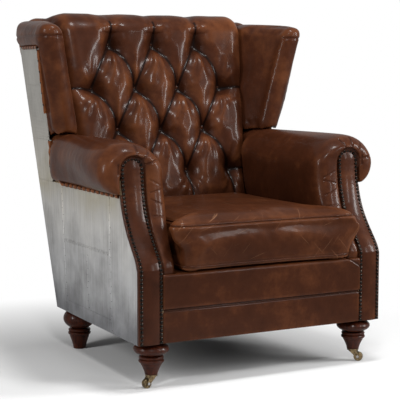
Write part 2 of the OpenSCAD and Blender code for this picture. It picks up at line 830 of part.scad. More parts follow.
function wing_line(z, up, bulge) = let (
    c = [wing_roll_x(z), wing_roll_y(z)],
    ye = wing_edge_y(z),
    inner = board_t + sheet_t + 2 * seat_gap + 2 * twist_gap,
    skin = sheet_t + seat_gap + twist_gap,
    rear = mix(pad_y(z) + pad_thick, back_y(z) + bulge - crest_lap, up),
    yn = ye + board_setback - seat_gap,
    px = pad_half(z),
    out = function(y) side_x(y, z)
        + bulge * mix(wing_edge_bulge_share, 1, max(0, min(1, (y - ye) / (rear - ye)))),
    side = function(y, depth) mix(side_x(y, z) - depth, out(y), up)
) concat(
    [[out(ye), ye - seat_gap]],
    arc(c, wing_roll_r, wing_wrap_from, wing_wrap_to, wing_wrap_steps),
    [
        [px, mix(pad_y(z), pad_y(z) + fold_depth / 2, up)],
        [px, rear - 8 * up],
        [mix(px, px + 6, up), rear],
        [mix(side_x(rear, z) - inner, out(rear) - 16, up), rear],
        [side(rear, inner), mix(rear - 2, rear - 16, up)],
        [side(yn + 40, inner), yn + 40],
        [side(yn, inner), yn],
        [side(yn, skin), mix(yn, yn - 2, up)],
        [side(ye, skin), mix(ye - seat_gap, ye + 3, up)],
    ]
);

// A ring of the wing at a share of the way up its leather top
function wing_top_at(y) = wing_top_h + wing_rise
    * max(0, min(1, (y - wing_roll_y(wing_top_h)) / (back_y(wing_top_h) - wing_roll_y(wing_top_h))));
function wing_spine(p, z) = let (
    t = max(0, (p[1] - wing_roll_y(z)) / (back_y(z) - wing_roll_y(z)))
) [mix(wing_roll_x(z), (pad_half(z) + side_x(p[1], z)) / 2, min(1, 1.6 * t)),
    max(wing_roll_y(z), min(p[1], back_y(z) - 12))];

function wing_ring(z, up, bulge, shrink, lift) = let (line = wing_line(z, up, bulge))
    [for (p = line) let (
        s = wing_spine(p, z),
        q = [mix(s[0], p[0], shrink), mix(s[1], p[1], shrink)],
        rise = lift * (wing_top_at(p[1]) - z)
    ) [q[0] + pad_lean * rise, q[1], z + rise]];

module wing_pad(side) {
    metal_top = panel_top_h + 2 * seat_gap;
    lower = [for (z = twist_levels(wing_from_h, panel_top_h)) wing_ring(z, 0, 0, 1, 0)];
    upper = [for (l = [[metal_top, 3], [metal_top + 8, 0.62 * top_bulge], [metal_top + 22, 0.92 * top_bulge],
        [metal_top + 40, top_bulge]]) wing_ring(l[0], 1, l[1], 1, 0)];
    dome_h = metal_top + 40;
    dome = [for (l = [[0.3, 0.985], [0.55, 0.93], [0.75, 0.84], [0.9, 0.68], [0.98, 0.45], [1, 0.2]])
        wing_ring(dome_h, 1, top_bulge, l[1], l[0])];
    rings = concat(lower, upper, dome);
    hub = [wing_roll_x(wing_from_h), wing_edge_y(wing_from_h) - 5, wing_from_h];
    color(leather_warm) placed(side) difference() {
        skin([for (r = rings) [for (i = [len(r) - 1:-1:0]) r[i]]], hub, mean(rings[len(rings) - 1]));
        arm_shape(rail_top_h, seat_gap, 2 * body_depth);
    }
}

module wing_pad_left() { wing_pad(-1); }
module wing_pad_right() { wing_pad(1); }

// Padded arm: inner wall and roll, cut to the sweep in front

taper_steps = 6;

module arm_shape(low, grow, far) {
    depths = concat([0], [for (i = [0:taper_steps]) mix(taper_from, arm_leather_y, i / taper_steps)], [far]);
    rings = [for (y = depths) [for (p = concat(
        arm_outline(low, grow, arm_taper(y)),
        [[arm_inner + arm_wall, low], [arm_inner + arm_wall, arm_cut_h - grow]]
    )) [p[0], y, p[1]]]];
    hub_x = arm_inner + arm_wall / 2;
    hub_h = arm_cut_h + roll_r / 2;
    skin(rings, [hub_x, 0, hub_h], [hub_x, far, hub_h]);
}

module arm_pad(side) {
    wall_low = rail_top_h + 2 * seat_gap;
    cut_x = side_x(arm_leather_y, arm_cut_h) - sheet_t - 2 - 2 * seat_gap;
    far = back_y(roll_h);
    color(leather_dark) placed(side) difference() {
        arm_shape(wall_low, 0, far);
        // Sweep of the front
        along_x(arm_inner - roll_r, roll_x + 2 * roll_r, concat(
            [[-roll_r, wall_low - overrun]],
            sweep_line(frame_y, wall_low - overrun),
            [[-roll_r, sweep_top]]
        ));
        post_shape(seat_gap);
        // Rear end against the back's webbing, and the side inside the metal
        along_x(arm_inner - roll_r, roll_x + 2 * roll_r, [
            [pad_y(wall_low - overrun) + pad_thick, wall_low - overrun],
            [pad_y(wall_low) + 3 * back_thick, wall_low - overrun],
            [pad_y(sweep_top) + 3 * back_thick, sweep_top],
            [pad_y(sweep_top) + pad_thick, sweep_top],
        ]);
        translate([cut_x, arm_leather_y, arm_cut_h - overrun])
        cube([2 * roll_r, far, 3 * roll_r]);
        // Room for the tufted pad beside the arm
        along_x(arm_inner - 2 * roll_r, pad_half(roll_h + roll_r) + seat_gap, [
            [pad_y(wall_low - overrun) - pad_reach, wall_low - overrun],
            [pad_y(wall_low) + 3 * back_thick, wall_low - overrun],
            [pad_y(sweep_top) + 3 * back_thick, sweep_top],
            [pad_y(sweep_top) - pad_reach, sweep_top],
        ]);
    }
}

module arm_pad_left() { arm_pad(-1); }
module arm_pad_right() { arm_pad(1); }

// Padded edge of the arm's front: from the roll's lower edge round the strip to the seat,
// pleated over the roll

pleats = 7;
ring_inner_r = strip_w / 2 + 2 * seat_gap;
ring_low_h = deck_h + seat_gap;
ring_outer = concat(
    [for (p = arm_outline(ring_low_h, 0)) if (p[1] > ring_low_h + seat_gap) p],
    [[arm_in(ring_low_h), ring_low_h]]
);
ring_count = len(ring_outer);
ring_shape_shares = [[0, 0.25], [0.1, 0.65], [0.32, 1], [0.62, 0.95], [0.86, 0.6], [1, 0]];

ring_turn_from = 4;
ring_turn_to = 2 + 2 * arm_steps;

// Edge of the strip that faces a point of the outline
function ring_inner(i) = let (a = 180 * (i - ring_turn_from) / (ring_turn_to - ring_turn_from))
    i > ring_turn_from && i < ring_turn_to
    ? [strip_mid + ring_inner_r * cos(a), roll_h + ring_inner_r * sin(a)]
    : [strip_mid + (i < arm_steps ? ring_inner_r : -ring_inner_r), min(ring_outer[i][1], roll_h)];
function ring_point(i, s) = let (p = ring_inner(i), q = ring_outer[i])
    [mix(p[0], q[0], s), mix(p[1], q[1], s)];
function pleat_share(i) = let (t = min(1, i / (2 * arm_steps)) * pleats)
    1 - 0.3 * pow(abs(2 * (t - floor(t)) - 1), 6);

module arm_ring(side) {
    back = leather_t - 2 * seat_gap;
    rings = [for (i = [0:ring_count - 1]) concat(
        [for (l = ring_shape_shares) let (p = ring_point(i, l[0]))
            [p[0], front_at(p[1]) + seat_gap - ring_swell(p[1]) * l[1] * pleat_share(i), p[1]]],
        [for (t = [1, 0.5, 0]) let (p = ring_point(i, t)) [p[0], front_at(p[1]) + back, p[1]]]
    )];
    color(leather_dark) placed(side)
    skin(rings, mean(rings[0]), mean(rings[ring_count - 1]));
}

module arm_ring_left() { arm_ring(-1); }
module arm_ring_right() { arm_ring(1); }

// Leather strip down the front of an arm

module sweep_band(from, to, low) {
    front = sweep_line(from, low);
    back = sweep_line(to, low);
    along_x(arm_inner - roll_r, roll_x + 2 * roll_r,
        concat(front, [for (i = [len(back) - 1:-1:0]) back[i]]));
}

module arm_strip(side) {
    color(leather_dark) placed(side) intersection() {
        sweep_band(0, leather_t, base_h);
        along_y(-roll_r, sweep + roll_r) union() {
            translate([strip_in, base_h]) square([side_front_x - strip_in, arm_cut_h - base_h]);
            translate([strip_in, base_h]) square([strip_w, roll_h - base_h]);
            translate([strip_mid, roll_h]) circle(strip_w / 2);
        }
    }
    // Its outer edge, turned back to the metal
    color(leather_dark) placed(side) intersection() {
        sweep_band(0, panel_setback - 3 * seat_gap, base_h);
        along_y(-roll_r, sweep + roll_r)
        translate([post_out + seat_gap, base_h])
        square([side_front_x - post_out - seat_gap, arm_cut_h - base_h]);
    }
}

module arm_strip_left() { arm_strip(-1); }
module arm_strip_right() { arm_strip(1); }

// Nails along both edges of the strip and round its top, spaced along the sweep

nail_margin = nail_d / 2 + 0.6;
nail_line_r = strip_w / 2 - nail_margin;
nail_from = base_h + nail_pitch / 2;

// Length along the sweep from the foot to each of its steps
fine = 120;
function fine_z(i) = mix(nail_from, roll_h, i / fine);
function fine_len(i) = norm([fine_z(i) - fine_z(i - 1), front_y(fine_z(i)) - front_y(fine_z(i - 1))]);
fine_sum = [for (i = 0, s = 0; i <= fine; i = i + 1, s = s + fine_len(i)) s];
run_len = fine_sum[fine];
run_nails = round(run_len / nail_pitch);
cap_nails = round(PI * nail_line_r / nail_pitch);

function height_at(s, i = 0) = i >= fine - 1 || fine_sum[i + 1] >= s
    ? mix(fine_z(i), fine_z(i + 1), (s - fine_sum[i]) / (fine_sum[i + 1] - fine_sum[i]))
    : height_at(s, i + 1);
function front_slope(z) = let (reach = nail_d / 4)
    atan((front_at(z + reach) - front_at(z - reach)) / (2 * reach));

nail_places = concat(
    [for (k = [0:run_nails - 1], s = [-1, 1])
        [strip_mid + s * nail_line_r, height_at(k * run_len / run_nails)]],
    [for (k = [0:cap_nails]) [strip_mid + nail_line_r * cos(180 * k / cap_nails),
        roll_h + nail_line_r * sin(180 * k / cap_nails)]]
);

module nail_head() {
    r = nail_d / 2;
    rotate_extrude()
    polygon([[0, 0], [r, 0], [0.84 * r, 0.34 * r], [0.45 * r, 0.55 * r], [0, 0.55 * r]]);
}

module arm_nails(side) {
    color(steel) placed(side)
    for (p = nail_places) {
        translate([p[0], front_at(p[1]), p[1]])
        rotate([90 - front_slope(p[1]), 0, 0])
        translate([0, 0, seat_gap])
        nail_head();
    }
}

module arm_nails_left() { arm_nails(-1); }
module arm_nails_right() { arm_nails(1); }

// Metal panels

sheet_seam = 0.6;
side_seams = [195, 555];
panel_low_top = arm_cut_h - seat_gap;

// Sheet between two edge lines, each a list of points in depth and height
module side_sheet(front, back) {
    n = len(front);
    function at(p, t) = [side_x(p[0], p[1]) - t, p[0], p[1]];
    outer_f = [for (p = front) at(p, 0)];
    outer_b = [for (p = back) at(p, 0)];
    inner_f = [for (p = front) at(p, sheet_t)];
    inner_b = [for (p = back) at(p, sheet_t)];
    points = concat(outer_f, outer_b, inner_b, inner_f);
    walls = [for (i = [0:n - 2], k = [0:3]) let (
        a = k * n + i, b = k * n + i + 1, c = (k + 1) % 4 * n + i + 1, d = (k + 1) % 4 * n + i
    ) each [[a, b, c], [a, c, d]]];
    low = [[0, n, 2 * n], [0, 2 * n, 3 * n]];
    high = [[n - 1, 3 * n - 1, 2 * n - 1], [n - 1, 4 * n - 1, 3 * n - 1]];
    polyhedron(points = points, faces = concat(walls, low, high));
}

function heights(low, high, n) = [for (i = [0:n]) mix(low, high, i / n)];
function upright(y, zs) = [for (z = zs) [y, z]];

module side_panel(side) {
    zs = heights(base_h, panel_low_top, 12);
    curved = [for (z = zs) [front_y(z) + panel_setback, z]];
    color(metal) placed(side) {
        side_sheet(curved, upright(side_seams[0] - sheet_seam, zs));
        side_sheet(upright(side_seams[0], zs), upright(side_seams[1] - sheet_seam, zs));
        side_sheet(upright(side_seams[1], zs), [for (z = zs) [back_y(z), z]]);
    }
}

module side_panel_left() { side_panel(-1); }
module side_panel_right() { side_panel(1); }

module wing_panel(side) {
    zs = heights(panel_low_top + sheet_seam, wing_low_h, 3);
    zt = twist_levels(wing_low_h + sheet_seam, panel_top_h);
    color(metal) placed(side) {
        side_sheet(upright(arm_leather_y + seat_gap, zs), [for (z = zs) [back_y(z), z]]);
        side_sheet([for (z = zt) [wing_edge_y(z), z]], [for (z = zt) [back_y(z), z]]);
    }
}

module wing_panel_left() { wing_panel(-1); }
module wing_panel_right() { wing_panel(1); }

module back_panel() {
    inset = sheet_t + seat_gap;
    function half(z) = side_x(back_y(z), z) - inset;
    zs = [base_h, panel_top_h];
    rings = [for (z = zs) [
        [-half(z), back_y(z) - sheet_t, z], [half(z), back_y(z) - sheet_t, z],
        [half(z), back_y(z), z], [-half(z), back_y(z), z],
    ]];
    color(metal) placed() skin(rings, mean(rings[0]), mean(rings[1]));
}

// Turned legs

foot_d = 40;
foot_flare = 66;
bead_d = 73;

// Half outline of a leg, from its foot up: taper, two beads, ball and neck
function leg_line(foot_h, tip_d, taper_top, bead_h, ball_low) = concat(
    [[0, foot_h], [tip_d / 2 - 1.5, foot_h], [tip_d / 2, foot_h + 1.5]],
    [for (t = [0.15:0.17:0.95]) [mix(tip_d, foot_flare, pow(t, 1.5)) / 2, mix(foot_h, taper_top, t)]],
    arc([bead_d / 2 - bead_h / 4, taper_top + bead_h / 4], bead_h / 4, -90, 90, 5),
    [[bead_d / 2 - bead_h / 2, taper_top + bead_h / 2]],
    arc([bead_d / 2 - bead_h / 4 - 1, taper_top + 3 * bead_h / 4], bead_h / 4, -90, 90, 5),
    [for (a = [-66:12:66]) [leg_ball_d / 2 * cos(a), mix(ball_low, base_h, (1 + sin(a) / sin(66)) / 2)]],
    [[leg_neck_r, base_h], [leg_neck_r, base_h + cloth_t + seat_gap], [0, base_h + cloth_t + seat_gap]]
);

bead_band = 20;
front_ball_h = 39;
socket_tube_d = 12;
socket_tube_len = 44;
socket_fit = 0.2;

module leg(line) {
    difference() {
        rotate_extrude() polygon(line);
        translate([0, 0, base_h - bolt_len / 2])
        cylinder(d = bolt_d + 2 * run_fit, h = bolt_len);
    }
}

module front_leg(side) {
    ball_low = base_h - front_ball_h;
    color(mahogany) placed(side)
    translate([front_leg_x, front_leg_y, 0])
    difference() {
        leg(leg_line(caster_h, wheel_d + 9, ball_low - bead_band, bead_band, ball_low));
        translate([0, 0, caster_h - overrun])
        cylinder(d = socket_tube_d + socket_fit, h = socket_tube_len - 2 * seat_gap + overrun);
    }
}

module front_leg_left() { front_leg(-1); }
module front_leg_right() { front_leg(1); }

module rear_leg(side) {
    ball_low = base_h / 2;
    color(mahogany) placed(side)
    translate([rear_leg_x, rear_leg_y, 0])
    leg(leg_line(0, foot_d, ball_low - bead_band, bead_band, ball_low));
}

module rear_leg_left() { rear_leg(-1); }
module rear_leg_right() { rear_leg(1); }

bolt_below = 42;

module hanger_bolts() {
    color(steel) placed()
    for (s = [-1, 1], p = [[front_leg_x, front_leg_y], [rear_leg_x, rear_leg_y]]) {
        translate([s * p[0], p[1], base_h - bolt_below])
        cylinder(d = bolt_d, h = bolt_below + bolt_len / 2 - 1);
    }
}

// Casters: a socket fixed in the leg, a fork that swivels in it, and a wheel on an axle

plate_d = wheel_d + 8;
plate_t = 3.6;
stem_d = 8;
crown_d = 26;
crown_t = 3.4;
cheek_t = 2.4;
cheek_gap = 0.5;
axle_d = 5;
rivet_t = 1.2;
rivet_d = 8;
plate_h = caster_h - seat_gap - plate_t;
crown_h = plate_h - seat_gap - crown_t;

module at_caster(side) {
    translate([0, -middle_y, 0])
    translate([side * front_leg_x, front_leg_y, 0])
    rotate([0, 0, side < 0 ? caster_turn_left : caster_turn_right])
    children();
}

module caster_socket(side) {
    color(brass) at_caster(side) difference() {
        union() {
            translate([0, 0, plate_h]) cylinder(d = plate_d, h = plate_t);
            translate([0, 0, plate_h]) cylinder(d = socket_tube_d, h = socket_tube_len - plate_t);
        }
        translate([0, 0, plate_h - overrun])
        cylinder(d = stem_d + 2 * run_fit, h = socket_tube_len - 2 * plate_t + overrun);
    }
}

module caster_socket_left() { caster_socket(-1); }
module caster_socket_right() { caster_socket(1); }

// Side plate of the fork, drawn in the plane of the trail
module cheek() {
    boss_r = wheel_d / 5;
    axle_h = wheel_d / 2;
    difference() {
        union() {
            polygon([
                [-crown_d / 3, crown_h + crown_t], [-crown_d / 3, crown_h],
                [trail - boss_r * 0.85, axle_h - boss_r * 0.5],
                [trail + boss_r * 0.97, axle_h + boss_r * 0.25],
                [crown_d / 2.2, crown_h + crown_t],
            ]);
            translate([trail, axle_h]) circle(boss_r);
        }
        translate([trail, axle_h]) circle(d = axle_d + 2 * run_fit);
    }
}

module caster_fork(side) {
    inner = wheel_w / 2 + cheek_gap;
    color(brass) at_caster(side) {
        translate([0, 0, crown_h]) cylinder(d = crown_d, h = crown_t);
        translate([0, 0, crown_h]) cylinder(d = stem_d, h = socket_tube_len - 2 * plate_t);
        for (from = [-inner - cheek_t, inner]) {
            along_y(from, from + cheek_t) cheek();
        }
    }
}

module caster_fork_left() { caster_fork(-1); }
module caster_fork_right() { caster_fork(1); }

module caster_axle(side) {
    outer = wheel_w / 2 + cheek_gap + cheek_t + seat_gap / 3;
    color(steel) at_caster(side) translate([trail, 0, wheel_d / 2]) rotate([90, 0, 0]) {
        cylinder(d = axle_d, h = 2 * outer, center = true);
        for (s = [-1, 1]) {
            translate([0, 0, s * (outer + rivet_t / 2)]) cylinder(d = rivet_d, h = rivet_t, center = true);
        }
    }
}

module caster_axle_left() { caster_axle(-1); }
module caster_axle_right() { caster_axle(1); }

module caster_wheel(side) {
    r = wheel_d / 2;
    bore = axle_d / 2 + run_fit;
    half = wheel_w / 2;
    edge = wheel_w / 6;
    color(brass) at_caster(side) translate([trail, 0, r]) rotate([90, 0, 0])
    rotate_extrude()
    polygon(concat(
        [[bore, -half], [r * 0.45, -half], [r * 0.5, -half + 1], [r * 0.8, -half + 1]],
        arc([r - edge, -half + edge + 0.6], edge, -60, 0, 4),
        arc([r - edge, half - edge - 0.6], edge, 0, 60, 4),
        [[r * 0.8, half - 1], [r * 0.5, half - 1], [r * 0.45, half], [bore, half]]
    ));
}

module caster_wheel_left() { caster_wheel(-1); }
module caster_wheel_right() { caster_wheel(1); }

corner_blocks();
seat_rail_front();
seat_rail_back();
seat_rail_left();
seat_rail_right();
arm_post_left();
arm_post_right();
arm_rail_left();
arm_rail_right();
back_post_left();
back_post_right();
back_rail_top();
back_rail_lower();
wing_board_left();
wing_board_right();
seat_springs();
spring_clips();
back_webbing();
seat_insulator();
seat_deck();
dust_cover();
border_lower();
border_upper();
seat_cushion();
back_pad();
back_buttons();
top_roll();
wing_pad_left();
wing_pad_right();
arm_pad_left();
arm_pad_right();
arm_ring_left();
arm_ring_right();
arm_strip_left();
arm_strip_right();
arm_nails_left();
arm_nails_right();
side_panel_left();
side_panel_right();
wing_panel_left();
wing_panel_right();
back_panel();
front_leg_left();
front_leg_right();
rear_leg_left();
rear_leg_right();
hanger_bolts();
caster_socket_left();
caster_socket_right();
caster_fork_left();
caster_fork_right();
caster_axle_left();
caster_axle_right();
caster_wheel_left();
caster_wheel_right();
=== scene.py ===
import math

import bmesh
import bpy
import numpy as np
from mathutils import Matrix, Vector, noise
from mathutils.bvhtree import BVHTree


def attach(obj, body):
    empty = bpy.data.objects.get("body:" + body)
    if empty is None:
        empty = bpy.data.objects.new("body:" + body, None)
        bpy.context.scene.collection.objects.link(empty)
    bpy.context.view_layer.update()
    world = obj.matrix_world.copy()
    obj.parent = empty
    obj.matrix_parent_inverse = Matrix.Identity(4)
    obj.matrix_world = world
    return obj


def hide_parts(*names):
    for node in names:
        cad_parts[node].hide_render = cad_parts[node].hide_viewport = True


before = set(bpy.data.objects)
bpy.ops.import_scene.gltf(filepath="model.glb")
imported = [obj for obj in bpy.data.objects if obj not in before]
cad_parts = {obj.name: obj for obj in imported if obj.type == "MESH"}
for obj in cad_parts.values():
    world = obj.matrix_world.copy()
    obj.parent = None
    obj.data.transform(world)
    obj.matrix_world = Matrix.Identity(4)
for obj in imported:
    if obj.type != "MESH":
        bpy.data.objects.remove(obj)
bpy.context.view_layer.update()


# The camera: a long lens a little below the top of the back, in front of the chair and to
# its left, as the photograph was taken.
bpy.ops.object.camera_add(
    location=(-1.8675, -3.493352, 0.9018),
    rotation=(math.radians(83.8745), 0, math.radians(-28.304)),
)
camera = bpy.context.object
camera.data.sensor_width = 36
camera.data.lens = 113.32
bpy.context.scene.camera = camera
bpy.context.scene.view_settings.view_transform = "Standard"


# The studio: a pale floor that fades to white with distance, a surround that is white to the
# camera and dimmer in reflections, and soft boxes at the left, the right, above and in front.
FLOOR_R = 9.0
FADE_CENTRE, FADE_FROM, FADE_TO = (-0.42, -0.42, 0), 0.70, 1.50
IN_REFLECTIONS = 0.45
AMBIENT = 0.13


def new_material(name):
    """An empty material, with its nodes and links."""
    made = bpy.data.materials.new(name)
    made.use_nodes = True
    nodes = made.node_tree.nodes
    for n in list(nodes):
        nodes.remove(n)
    return made, nodes, made.node_tree.links


bpy.ops.object.select_all(action="DESELECT")
bpy.ops.mesh.primitive_circle_add(vertices=64, radius=FLOOR_R, fill_type="NGON", location=(0, 0, 0))
floor = bpy.context.object
floor.name = "studio_floor"
floor_paint, nodes, links = new_material("pale_floor")
place = nodes.new("ShaderNodeTexCoord")
reach = nodes.new("ShaderNodeVectorMath")
reach.operation = "DISTANCE"
reach.inputs[1].default_value = FADE_CENTRE
links.new(place.outputs["Object"], reach.inputs[0])
fade = nodes.new("ShaderNodeMapRange")
fade.inputs["From Min"].default_value = FADE_FROM
fade.inputs["From Max"].default_value = FADE_TO
links.new(reach.outputs["Value"], fade.inputs["Value"])
matt = nodes.new("ShaderNodeBsdfDiffuse")
matt.inputs["Color"].default_value = (0.70, 0.70, 0.70, 1)
white = nodes.new("ShaderNodeEmission")
white.inputs["Color"].default_value = (1, 1, 1, 1)
dim = nodes.new("ShaderNodeEmission")
dim.inputs["Color"].default_value = (1, 1, 1, 1)
dim.inputs["Strength"].default_value = IN_REFLECTIONS
rays = nodes.new("ShaderNodeLightPath")
far = nodes.new("ShaderNodeMixShader")
links.new(rays.outputs["Is Camera Ray"], far.inputs["Fac"])
links.new(dim.outputs["Emission"], far.inputs[1])
links.new(white.outputs["Emission"], far.inputs[2])
blend = nodes.new("ShaderNodeMixShader")
links.new(fade.outputs["Result"], blend.inputs["Fac"])
links.new(matt.outputs["BSDF"], blend.inputs[1])
links.new(far.outputs["Shader"], blend.inputs[2])
out = nodes.new("ShaderNodeOutputMaterial")
links.new(blend.outputs["Shader"], out.inputs["Surface"])
floor.data.materials.append(floor_paint)

world = bpy.data.worlds.new("studio")
bpy.context.scene.world = world
world.use_nodes = True
nodes, links = world.node_tree.nodes, world.node_tree.links
for n in list(nodes):
    nodes.remove(n)
rays = nodes.new("ShaderNodeLightPath")
soft, mirrored, bright = (nodes.new("ShaderNodeBackground") for _ in range(3))
for sky, strength in ((soft, AMBIENT), (mirrored, IN_REFLECTIONS), (bright, 1.0)):
    sky.inputs["Color"].default_value = (1, 1, 1, 1)
    sky.inputs["Strength"].default_value = strength
glossy = nodes.new("ShaderNodeMixShader")
links.new(rays.outputs["Is Glossy Ray"], glossy.inputs["Fac"])
links.new(soft.outputs[0], glossy.inputs[1])
links.new(mirrored.outputs[0], glossy.inputs[2])
blend = nodes.new("ShaderNodeMixShader")
links.new(rays.outputs["Is Camera Ray"], blend.inputs["Fac"])
links.new(glossy.outputs[0], blend.inputs[1])
links.new(bright.outputs[0], blend.inputs[2])
out = nodes.new("ShaderNodeOutputWorld")
links.new(blend.outputs[0], out.inputs["Surface"])


def soft_box(name, place, target, size, power):
    """A flat lamp that points at a spot of the chair."""
    turn = (Vector(target) - Vector(place)).to_track_quat("-Z", "Y").to_euler()
    bpy.ops.object.light_add(type="AREA", location=place, rotation=turn)
    lamp = bpy.context.object
    lamp.name = name
    lamp.data.shape = "RECTANGLE"
    lamp.data.size, lamp.data.size_y = size
    lamp.data.energy = power


soft_box("left_box", (-2.7, -0.5, 1.45), (0, 0, 0.7), (0.4, 1.2), 42)
soft_box("key_box", (-1.2, -2.4, 2.6), (0, 0, 0.6), (0.4, 0.4), 34)
soft_box("top_box", (0.2, -0.7, 3.0), (0, 0, 0.5), (0.5, 0.5), 46)
soft_box("right_box", (2.1, -1.5, 1.5), (0.1, 0, 0.7), (0.40, 1.2), 58)
soft_box("front_box", (1.35, -2.7, 1.55), (0.1, 0, 0.6), (0.24, 1.1), 20)


# Leather: hide with a wax finish, with painted shade in its folds and hollows, rubbed to
# orange brown where it is touched, with fine pores and soft creases, and a glossy top coat.
def ramp(nodes, stops):
    """A colour ramp through some (place, colour) stops."""
    made = nodes.new("ShaderNodeValToRGB")
    while len(made.color_ramp.elements) < len(stops):
        made.color_ramp.elements.new(0.5)
    for e, (at, colour) in zip(made.color_ramp.elements, stops):
        e.position = at
        e.color = (*colour, 1)
    return made


def noise_at(nodes, links, source, scale, detail, roughness, stretch=None):
    """Noise at a scale, or stretched by a scale for each axis."""
    if stretch:
        mapping = nodes.new("ShaderNodeMapping")
        mapping.inputs["Scale"].default_value = stretch
        links.new(source, mapping.inputs["Vector"])
        source = mapping.outputs["Vector"]
    made = nodes.new("ShaderNodeTexNoise")
    made.inputs["Scale"].default_value = scale
    made.inputs["Detail"].default_value = detail
    made.inputs["Roughness"].default_value = roughness
    links.new(source, made.inputs["Vector"])
    return made.outputs["Fac"]


def combined(nodes, links, kind, *values):
    """Values put together by a math node: numbers are set, and outputs are linked."""
    made = nodes.new("ShaderNodeMath")
    made.operation = kind
    for socket, value in zip(made.inputs, values):
        if isinstance(value, (int, float)):
            socket.default_value = value
        else:
            links.new(value, socket)
    return made.outputs[0]


def roughness_from(nodes, links, shader, source, least, most):
    """Lets a pattern set the roughness between two values."""
    made = nodes.new("ShaderNodeMapRange")
    made.inputs["To Min"].default_value = least
    made.inputs["To Max"].default_value = most
    links.new(source, made.inputs["Value"])
    links.new(made.outputs["Result"], shader.inputs["Roughness"])


def bump_from(nodes, links, height, strength, distance, under=None):
    """A bump by a pattern, over another bump if there is one."""
    made = nodes.new("ShaderNodeBump")
    made.inputs["Strength"].default_value = strength
    made.inputs["Distance"].default_value = distance
    links.new(height, made.inputs["Height"])
    if under:
        links.new(under, made.inputs["Normal"])
    return made.outputs["Normal"]


def finish_material(nodes, links, shader, normal=None):
    """Links a shader to the output, with a bump if there is one."""
    if normal:
        links.new(normal, shader.inputs["Normal"])
    out = nodes.new("ShaderNodeOutputMaterial")
    links.new(shader.outputs["BSDF"], out.inputs["Surface"])


SCRATCHES = (
    ((0, 0.7, 0), (420, 6, 5)),
    ((0, -0.8, 0.1), (460, 5, 6)),
    ((0, 1.25, 0.2), (400, 6, 7)),
)
SCRATCH_FLOOR, SCRATCH_EDGE = 0.745, 0.035
SCRATCH_HUE = (0.34, 0.17, 0.09, 1)


def scratch_at(nodes, links, source, turn, stretch):
    """Fine straight scratches along one direction, as a mask."""
    mapping = nodes.new("ShaderNodeMapping")
    mapping.vector_type = "TEXTURE"
    mapping.inputs["Rotation"].default_value = turn
    mapping.inputs["Scale"].default_value = [1 / s for s in stretch]
    links.new(source, mapping.inputs["Vector"])
    grain = noise_at(nodes, links, mapping.outputs["Vector"], scale=1, detail=1, roughness=0.4)
    made = nodes.new("ShaderNodeMapRange")
    made.inputs["From Min"].default_value = SCRATCH_FLOOR
    made.inputs["From Max"].default_value = SCRATCH_FLOOR + SCRATCH_EDGE
    links.new(grain, made.inputs["Value"])
    return made.outputs["Result"]


def waxed_leather(name, fold_shade, body, rubbed, crease=0.35, gloss=0.3, scratched=0.0):
    """Leather of three colours: painted shade in the folds and hollows, the flat, and where it is rubbed.
    """
    made, nodes, links = new_material(name)
    place = nodes.new("ShaderNodeTexCoord").outputs["Object"]
    clouds = noise_at(nodes, links, place, scale=6, detail=5, roughness=0.6)
    patches = noise_at(nodes, links, place, scale=34, detail=6, roughness=0.65)
    lower = combined(nodes, links, "MULTIPLY", clouds, 0.38)
    both = combined(nodes, links, "MULTIPLY_ADD", patches, 0.20, lower)
    # The stored values lift proud points towards the rubbed colour and sink folds and hollows into the
    # darkest colour, which is painted shade.
    wear_and_shade = nodes.new("ShaderNodeAttribute")
    wear_and_shade.attribute_name = "wear_and_shade"
    level = combined(nodes, links, "ADD", both, wear_and_shade.outputs["Fac"])
    hue = ramp(nodes, [(0.06, fold_shade), (0.30, body), (0.68, rubbed)])
    links.new(level, hue.inputs["Fac"])
    colour = hue.outputs["Color"]
    if scratched:
        cuts = 0.0
        for turn, stretch in SCRATCHES:
            mask = scratch_at(nodes, links, place, turn, stretch)
            cuts = combined(nodes, links, "MAXIMUM", cuts, mask)
        share = combined(nodes, links, "MULTIPLY", cuts, scratched)
        worn = nodes.new("ShaderNodeMix")
        worn.data_type = "RGBA"
        worn.inputs["B"].default_value = SCRATCH_HUE
        links.new(share, worn.inputs["Factor"])
        links.new(colour, worn.inputs["A"])
        colour = worn.outputs["Result"]
    shader = nodes.new("ShaderNodeBsdfPrincipled")
    links.new(colour, shader.inputs["Base Color"])
    roughness_from(nodes, links, shader, patches, gloss - 0.05, gloss + 0.18)
    shader.inputs["Specular IOR Level"].default_value = 0.05
    shader.inputs["Coat Weight"].default_value = 0.24
    shader.inputs["Coat Roughness"].default_value = 0.15
    shader.inputs["Coat IOR"].default_value = 1.30
    folds = noise_at(nodes, links, place, scale=22, detail=3, roughness=0.5)
    pores = noise_at(nodes, links, place, scale=420, detail=2, roughness=0.5)
    wide = bump_from(nodes, links, folds, strength=crease, distance=0.004)
    fine = bump_from(nodes, links, pores, strength=0.30, distance=0.0005, under=wide)
    finish_material(nodes, links, shader, fine)
    return made


# The first colour of each hide is the painted shade in its folds and hollows.
dark_hide = waxed_leather(
    "dark_hide", (0.008, 0.0026, 0.0015), (0.043, 0.0125, 0.0052), (0.21, 0.070, 0.024)
)
warm_hide = waxed_leather(
    "warm_hide", (0.010, 0.003, 0.0015), (0.043, 0.0125, 0.0048), (0.22, 0.070, 0.023)
)
seat_hide = waxed_leather(
    "seat_hide", (0.012, 0.0038, 0.0018), (0.047, 0.0135, 0.0048), (0.20, 0.068, 0.025),
    crease=0.4, gloss=0.33, scratched=0.35,
)


# The back: one hide over sprung foam, drawn down to the frame by fourteen buttons. Its
# folds run from button to button, then as pleats over the crest and out to the wings.
def select_only(piece):
    """Makes a piece the one that operators work on."""
    bpy.ops.object.select_all(action="DESELECT")
    piece.select_set(True)
    bpy.context.view_layer.objects.active = piece


def paint(piece, material):
    """Gives a piece one material."""
    piece.data.materials.clear()
    piece.data.materials.append(material)


def points_of(mesh):
    """The places of a mesh's points, a row each."""
    co = np.empty(len(mesh.vertices) * 3)
    mesh.vertices.foreach_get("co", co)
    return co.reshape(-1, 3)


